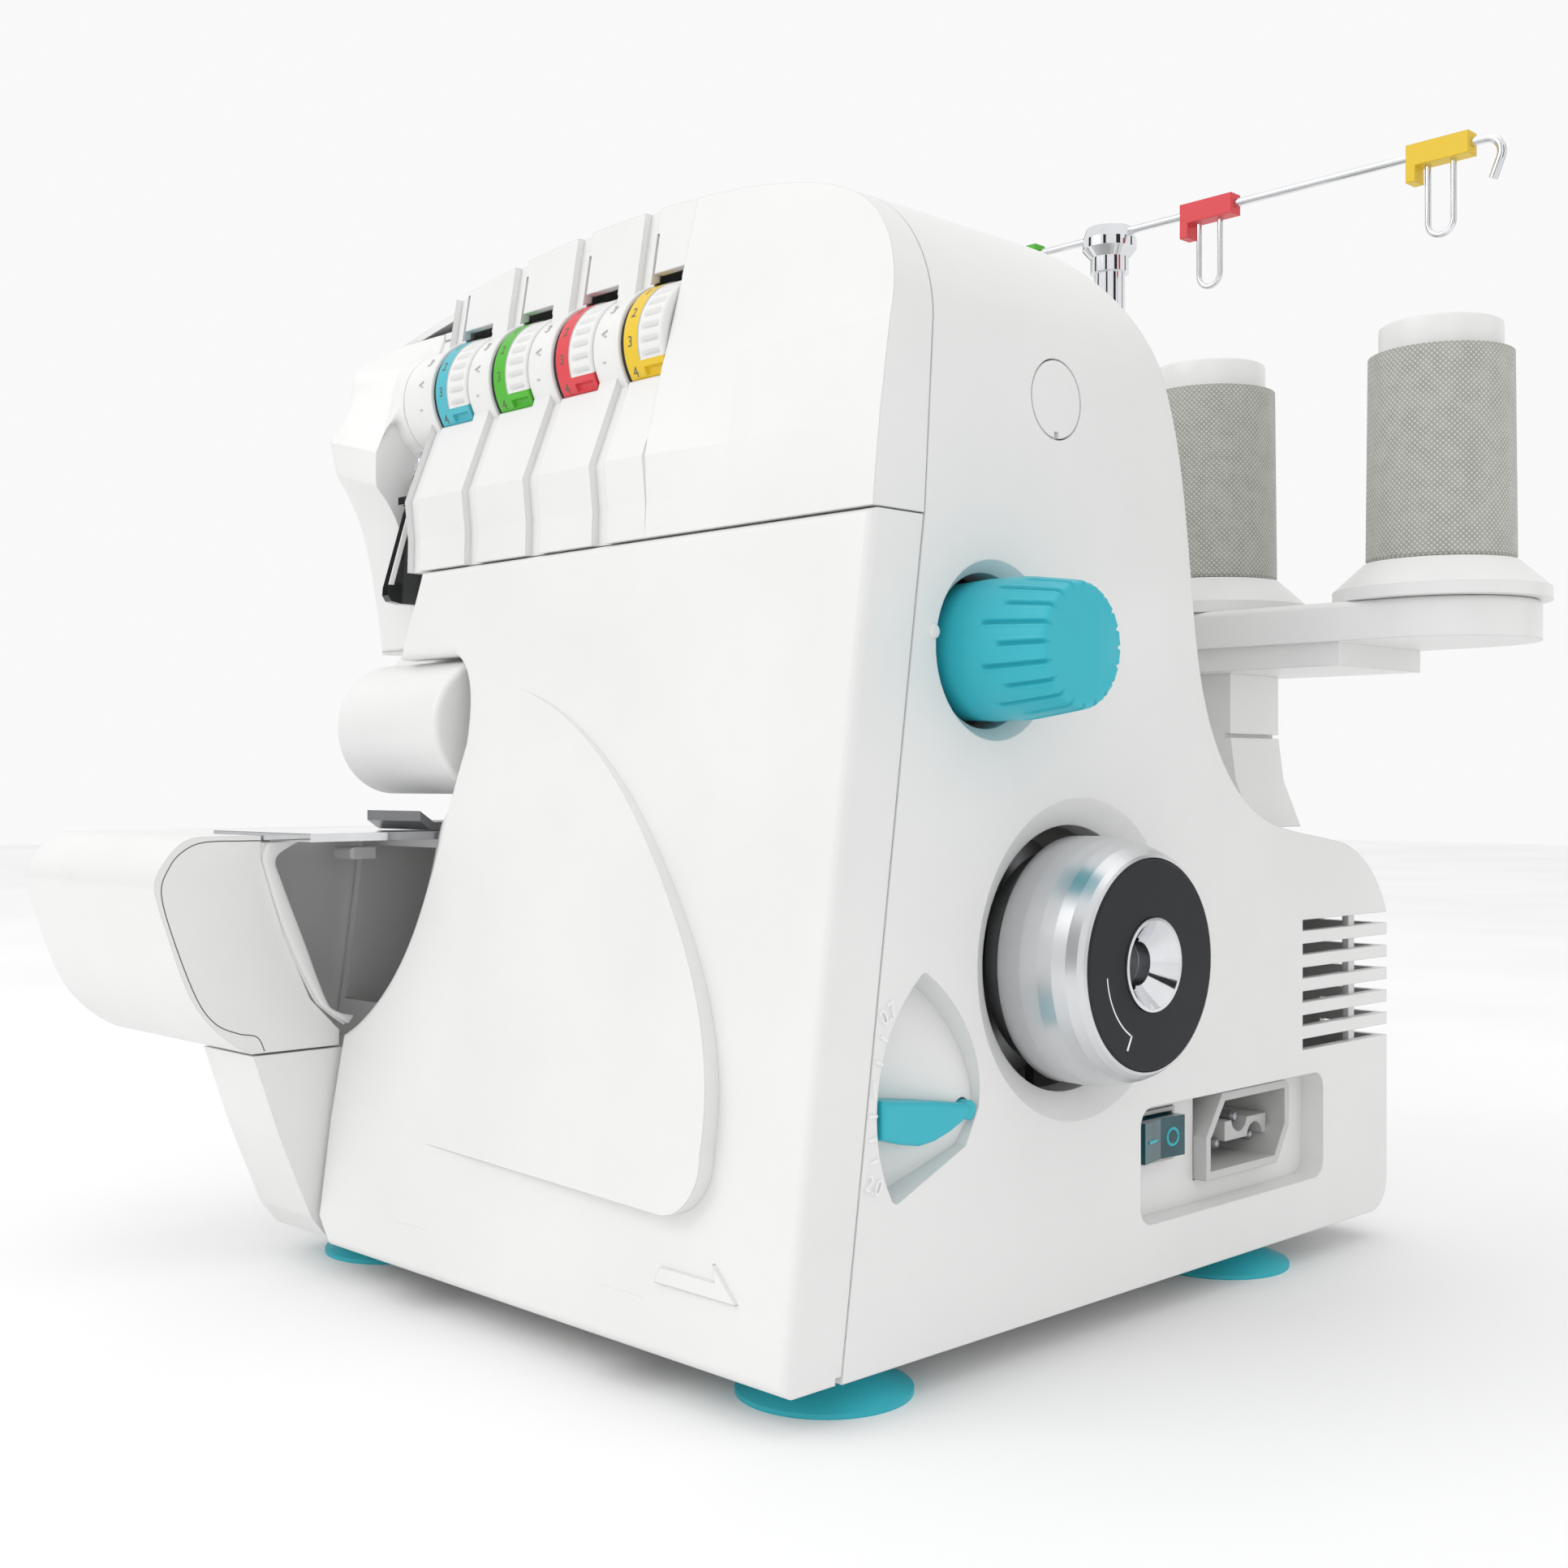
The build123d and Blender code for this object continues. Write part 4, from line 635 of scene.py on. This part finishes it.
def make_bay_lip():
    """Rounded lip that turns in from the end plate's rear edge, seated behind the plate."""
    outer, inner = smooth_profile(LIP_OUTER, 8), smooth_profile(LIP_INNER, 8)
    rows = []
    for a, b in zip(outer, inner):
        ring = []
        for share, out in LIP_SECTION:
            y, z = blend(a, b, share)
            ring.append(at(LIP_X + out, y, z))
        rows.append(ring)
    lip = new_piece("bay_lip", grid_mesh("bay_lip", rows, True, None, 40), WHITE)
    finish_piece(lip, "cloth_arm", "white_shell")


# ---------------------------------------------------------------- take-up guard
GUARD_EDGE = ((40.2, 241.9), (29.7, 206.9))  # its top and foot, (y, z)
EDGE_SECTION = ((-0.5, 0.1), (-0.5, -0.12), (0.1, -0.12), (0.2, 0.2), (0.2, 1.5), (-0.2, 1.6))
SCREW_PROFILE = ((-0.3, 1.0), (0.2, 1.0), (0.38, 0.85), (0.48, 0.5), (0.5, 0.04))  # (height, radius)


def make_guard_edge():
    """Polished edge down the front of the take-up guard's side plate, drawn in white as a painted highlight.
    """
    right = box_mm("take_up_guard")[1][0]
    rows = [[at(right + out, y + back, z) for out, back in EDGE_SECTION] for y, z in GUARD_EDGE]
    # White here is a painted highlight along the smoked plate's polished edge.
    edge = new_piece("guard_edge", grid_mesh("guard_edge", rows, True, None, 30), WHITE)
    finish_piece(edge, "frame", "white_shell")


def make_guard_screw(name, place, lean):
    """Small domed screw on a front face that leans back by the given angle."""
    a = math.radians(lean)
    out, up = Vector((0, -math.cos(a), math.sin(a))), Vector((0, math.sin(a), math.cos(a)))
    turns = [math.tau * i / 24 for i in range(24)]
    rounds = [Vector((math.cos(t), 0, 0)) + up * math.sin(t) for t in turns]
    rows = [[at(*place) + (out * height + way * radius) * MM for way in rounds]
            for height, radius in SCREW_PROFILE]
    finish_piece(new_piece(name, grid_mesh(name, rows, True, None, 50), CHROME), "frame", "chrome")


# ---------------------------------------------------------------- thread spools
SPOOL_RADIUS = 20.9
NET_ROWS = 150  # rows of net knots up a spool
NET_HEIGHT = 0.1
CORE_REACH = 9.0  # how far the core stands out of the thread


def core_profile(shoulder, top):
    """Outline of the core, (height, radius): up its outside, over the lip and down its bore."""
    return [
        (shoulder - 3, 16.9), (shoulder + 0.2, 17.25), (shoulder + 4.0, 17.3), (top - 1.1, 17.3),
        (top - 0.5, 17.1), (top - 0.15, 16.6), (top, 16.0), (top, 12.4), (top - 0.3, 11.9), (top - 1.2, 11.6),
        (top - 8.0, 11.2), (top - 8.6, 6.0), (top - 8.6, 2.75), (top - 14, 2.7),
    ]


def make_spool(index):
    """Spool: thread wound under a net, on a white core."""
    node = f"thread_spool_{index}"
    low, high = box_mm(node)
    centre = ((low[0] + high[0]) / 2, (low[1] + high[1]) / 2)
    bottom, shoulder, top = low[2], high[2] - CORE_REACH, high[2]
    body = f"spool_{index}"
    turns = [360 * j / NET_KNOTS for j in range(NET_KNOTS)]
    rows = []
    for i in range(NET_ROWS + 1):
        t = i / NET_ROWS
        height = bottom + (shoulder - bottom) * t
        base = SPOOL_RADIUS - 0.12 - 0.6 * t
        if t < 0.012:  # the net is drawn in at the foot
            base -= 0.5
        rows.append([around_z(centre, height, base + NET_HEIGHT * ((i + j) % 2), a)
                     for j, a in enumerate(turns)])
    rows.append([around_z(centre, shoulder, 17.0, a) for a in turns])
    data = grid_mesh(f"spool_{index}_thread", rows, True, None, 60)
    uv = data.uv_layers.new(name="net")
    for loop in data.loops:
        co = data.vertices[loop.vertex_index].co - at(centre[0], centre[1], 0)
        uv.data[loop.index].uv = (math.atan2(co.y, co.x) / (2 * math.pi), co.z / (2 * math.pi * 0.0206))
    thread = new_piece(f"spool_{index}_thread", data, THREAD)
    finish_piece(thread, body, "thread_grey", node)
    rows = [[around_z(centre, h, r, 360 * j / 96) for j in range(96)] for h, r in core_profile(shoulder, top)]
    core = new_piece(f"spool_{index}_core", grid_mesh(f"spool_{index}_core", rows, True, None, 35), WHITE)
    finish_piece(core, body, "white_shell")


# ---------------------------------------------------------------- right side details
FLUTES = 20
FLUTE_PITCH = 360 / FLUTES
LONG_FLUTE_FROM, SHORT_FLUTE_FROM = 8.6, 13.4  # distance from the knob's foot
# Grip from its foot to its end, (distance, radius): a smooth taper, then the rolled edge.
KNOB_TAPER = [(0, 17.55), (4, 17.5), (8, 17.45), (12, 17.15), (16, 16.65), (20, 16.1), (24, 15.55)]
KNOB_EDGE = [
    (24.6, 15.45), (25.2, 15.35), (25.8, 15.2), (26.2, 15.05), (26.5, 14.85), (26.75, 14.6), (26.9, 14.3),
    (26.95, 14),
]


def make_knob():
    """Stitch length knob: long and short flutes by turns, each with a raised lip on both sides."""
    x, y, z = joint_centre("stitch_knob_turn")
    grip = smooth_profile(KNOB_TAPER, 5) + KNOB_EDGE
    angles = [i * 0.6 for i in range(600)]

    def radius(along, full, angle):
        nearest = round(angle / FLUTE_PITCH)
        start = LONG_FLUTE_FROM if nearest % 2 else SHORT_FLUTE_FROM
        across = math.radians(angle - nearest * FLUTE_PITCH) * full
        inward = min(1.0, max(0.0, (along - start) / 1.0))
        groove = max(0.0, 1 - (across / 0.62) ** 2) ** 1.2
        lip = max(0.0, 1 - ((abs(across) - 0.98) / 0.42) ** 2)
        return full - inward * (0.95 * groove - 0.14 * lip)

    rows = [[around_x((y, z), -8.9, 17.15, a) for a in angles]]
    rows += [[around_x((y, z), u, radius(u, r, a), a) for a in angles] for u, r in grip]
    rows.append([around_x((y, z), 26.98, 13.4, a) for a in angles])
    knob = new_piece("knob_grip", grid_mesh("knob_grip", rows, True, None, 38), TEAL)
    finish_piece(knob, "stitch_knob", "teal_plastic")
    spindle = [(-61.9, 3.7), (-61.5, 3.95), (-9, 3.95), (-8.9, 17.1)]
    rows = [[around_x((y, z), u, r, a) for a in angles[::6]] for u, r in spindle]
    stem = new_piece("knob_spindle", grid_mesh("knob_spindle", rows, True, None, 38), STEEL)
    finish_piece(stem, "stitch_knob", "teal_plastic", "stitch_knob")


PRINT_ARC = (186, 242)  # degrees round the handwheel's face
PRINT_RADIUS = 19.2


def make_handwheel_print():
    """Thin light arc with a tick on the handwheel's face."""
    x, y, z = joint_centre("handwheel_spin")
    high = box_mm("handwheel_face")[1]
    face = high[0] - 0.03
    start, end = PRINT_ARC

    def strip(name, path):
        rows = [[at(face + out, y + p[0], z + p[1]) for p, out in ((a, 0), (a, 0.06), (b, 0.06), (b, 0))]
                for a, b in path]
        finish_piece(new_piece(name, grid_mesh(name, rows, True, None, 30), PRINT), "handwheel", "anthracite")

    def polar(radius, degrees):
        a = math.radians(degrees)
        return (radius * math.cos(a), radius * math.sin(a))

    arc = [start + (end - start) * i / 40 for i in range(41)]
    strip("face_arc", [(polar(PRINT_RADIUS, a), polar(PRINT_RADIUS + 0.4, a)) for a in arc])
    strip("face_tick", [(polar(r, end - 0.9), polar(r, end + 0.9)) for r in (PRINT_RADIUS, 20.5, 22, 23.3)])


LINE_HALF = (2.6, 0.45)  # half the sizes of the line on the power switch
RING_RADIUS, RING_WIRE = 2.3, 0.42


def make_rocker_marks():
    """Raised line and ring on the two halves of the power switch."""
    low, high = box_mm("power_rocker")
    middle = (low[1] + high[1]) / 2 - 0.1
    z = (low[2] + high[2]) / 2

    y, tilt = (low[1] + middle) / 2, math.tan(math.atan2(-2.0, middle - low[1]))
    half_y, half_z = LINE_HALF
    outline = [(-half_y, -half_z), (half_y, -half_z), (half_y, half_z), (-half_y, half_z)]
    line = [[at(high[0] - 1.0 + out + u * tilt, y + u, z + v) for u, v in outline]
            for out in (-0.3, 0.12, 0.22)]

    y, tilt = (middle + high[1]) / 2, math.tan(math.atan2(1.0, high[1] - middle))
    ring = []
    for i in range(48):
        a = 2 * math.pi * i / 48
        wire = []
        for j in range(8):
            b = 2 * math.pi * j / 8
            r = RING_RADIUS + RING_WIRE * math.cos(b)
            out = high[0] - 1.5 + 0.25 * math.sin(b) + r * math.cos(a) * tilt
            wire.append(at(out, y + r * math.cos(a), z + r * math.sin(a)))
        ring.append(wire)
    ring.append(ring[0])

    for name, rows, smooth_angle in (("rocker_off", line, 30), ("rocker_on", ring, 60)):
        mark = new_piece(name, grid_mesh(name, rows, True, None, smooth_angle), TEAL)
        finish_piece(mark, "power_rocker", "rocker_teal")


# Figures as (text, y, z, degrees turned) and ticks as (y, z) beside the feed lever's pocket.
SCALE_FIGURES = (("0.7", 33.4, 91.6, 30), ("1", 28.6, 74.4, 4), ("2.0", 28.4, 52.4, -24))
SCALE_TICKS = ((32.2, 85.9), (30.4, 80.5), (28.3, 68.5), (28.2, 63.1), (28.8, 58.0))


def make_scale():
    """Raised ticks and figures round the left edge of the feed lever's pocket."""
    for text, dy, dz, turn in SCALE_FIGURES:
        def place(px, py, pz, dy=dy, dz=dz, turn=turn):
            a = math.radians(turn)
            u, v = px * math.cos(a) - py * math.sin(a), px * math.sin(a) + py * math.cos(a)
            return at(-0.05 + pz, dy + u, dz + v)
        figure = lettering(f"scale_figure_{text.replace('.', '_')}", text, 5.6, 0.75, place, PRINT, (0.8, 1))
        finish_piece(figure, "frame", "white_shell")
    x, y, z = joint_centre("feed_lever_turn")
    for index, (dy, dz) in enumerate(SCALE_TICKS):
        away = math.atan2(dz - z, dy - y)
        along, across = Vector((math.cos(away), math.sin(away))), Vector((-math.sin(away), math.cos(away)))
        rows = []
        for out, shrink in ((-0.1, 1.0), (0.5, 1.0), (0.7, 0.7)):
            ring = []
            for j in range(24):
                b = 2 * math.pi * j / 24
                u = 1.5 * shrink ** 0.5 * math.copysign(abs(math.cos(b)) ** 0.35, math.cos(b))
                v = 0.42 * shrink * math.sin(b)
                ring.append(at(out, dy + u * along.x + v * across.x, dz + u * along.y + v * across.y))
            rows.append(ring)
        name = f"scale_tick_{index + 1}"
        finish_piece(new_piece(name, grid_mesh(name, rows, True, None, 50), PRINT), "frame", "white_shell")


DOT_PLACE = (49.9, 181.4)
DOT_PROFILE = [(-0.1, 1.75), (0.25, 1.75), (0.5, 1.6), (0.62, 1.25), (0.66, 0.6), (0.67, 0.05)]


def make_index_dot():
    """Raised domed dot beside the stitch length knob."""
    rows = [[around_x(DOT_PLACE, u, r, 360 * j / 48) for j in range(48)] for u, r in DOT_PROFILE]
    dot = new_piece("index_dot", grid_mesh("index_dot", rows, True, None, 50), WHITE)
    finish_piece(dot, "frame", "white_shell")


# ---------------------------------------------------------------- stage, light, camera
def make_stage():
    """Plain pale floor."""
    bpy.ops.mesh.primitive_plane_add(size=8)
    floor = bpy.context.object
    floor.name = "floor"
    shader = Shader("studio_floor")
    shader.colour(shader.ramp(shader.noise(3, 3), srgb("F4F4F4"), srgb("FAFAFA")))
    shader.roughness(shader.spread(shader.noise(9, 3), 0.6, 0.75))
    floor.data.materials.append(shader.material)


def make_world():
    """Even white surroundings."""
    world = bpy.data.worlds.new("studio")
    bpy.context.scene.world = world
    world.use_nodes = True
    tree = world.node_tree
    back = tree.nodes["Background"]
    back.inputs["Color"].default_value = (1, 1, 1, 1)
    back.inputs["Strength"].default_value = 0.95


def make_light(name, place, target, size, power):
    data = bpy.data.lights.new(name, "AREA")
    data.shape = "RECTANGLE"
    data.size, data.size_y = size
    data.energy = power
    light = bpy.data.objects.new(name, data)
    light.location = place
    light.rotation_euler = (Vector(target) - Vector(place)).to_track_quat("-Z", "Y").to_euler()
    bpy.context.scene.collection.objects.link(light)


# Cards round the stage, (x, y, degrees turned, width) in metres.
FLAGS = (
    (1.5, -0.35, 75, 0.5), (0.45, -1.5, 15, 0.35), (-1.4, -0.8, -60, 0.4), (1.0, 1.3, 140, 0.35),
    (-1.2, 1.1, 220, 0.3),
)


def make_flags():
    """Dark cards that only reflections see, as a studio hangs them to draw edges on metal."""
    shader = Shader("flag_cloth")
    shader.colour(shader.ramp(shader.noise(20, 2), srgb("101010"), srgb("1A1A1A")))
    shader.roughness(shader.spread(shader.noise(30, 2), 0.8, 0.95))
    for i, (x, y, turn, width) in enumerate(FLAGS):
        upright = (math.pi / 2, 0, math.radians(turn))
        bpy.ops.mesh.primitive_plane_add(size=1, location=(x, y, 0.55), rotation=upright)
        card = bpy.context.object
        card.name = f"flag_{i}"
        card.scale = (width, 1.6, 1)
        card.data.materials.append(shader.material)
        for kind in ("camera", "diffuse", "transmission", "volume_scatter", "shadow"):
            setattr(card, f"visible_{kind}", False)


CAMERA_AZIMUTH = math.radians(45.7)
CAMERA_PLACE = (289.709, -282.716, 145)
FOCAL_LENGTH = 42.37267  # millimetres on a sensor 36 mm wide


def make_camera():
    """Level camera in front of the right front corner."""
    data = bpy.data.cameras.new("camera")
    data.sensor_width = 36.0
    data.lens = FOCAL_LENGTH
    camera = bpy.data.objects.new("camera", data)
    camera.location = at(*CAMERA_PLACE)
    look = Vector((-math.sin(CAMERA_AZIMUTH), math.cos(CAMERA_AZIMUTH), 0))
    camera.rotation_euler = look.to_track_quat("-Z", "Y").to_euler()
    bpy.context.scene.collection.objects.link(camera)
    bpy.context.scene.camera = camera


for index, colour_material in enumerate(DIAL_COLOURS, start=1):
    make_dial(index, colour_material)
    make_barrel_marks(index)
    make_dial_collar(index)
for index in (1, 2, 3, 4):
    make_spool(index)
make_scale()
make_index_dot()
make_wing()
make_arm_seam()
make_bay_lip()
make_guard_edge()
make_guard_screw("guard_screw", (-207.5, 39.5, 238.8), 17.1)
make_guard_screw("thread_guide_screw", (-202, 37.9, 245.8), 11.3)
make_knob()
make_handwheel_print()
make_rocker_marks()
make_stage()
make_world()
make_light("key", (-0.6, -1.4, 1.3), (0, 0, 0.12), (1.2, 1.0), 6.5)
make_light("top", (0.1, 0.1, 1.8), (0, 0, 0), (1.4, 1.4), 3)
make_flags()
make_camera()
bpy.context.scene.view_settings.view_transform = "Standard"
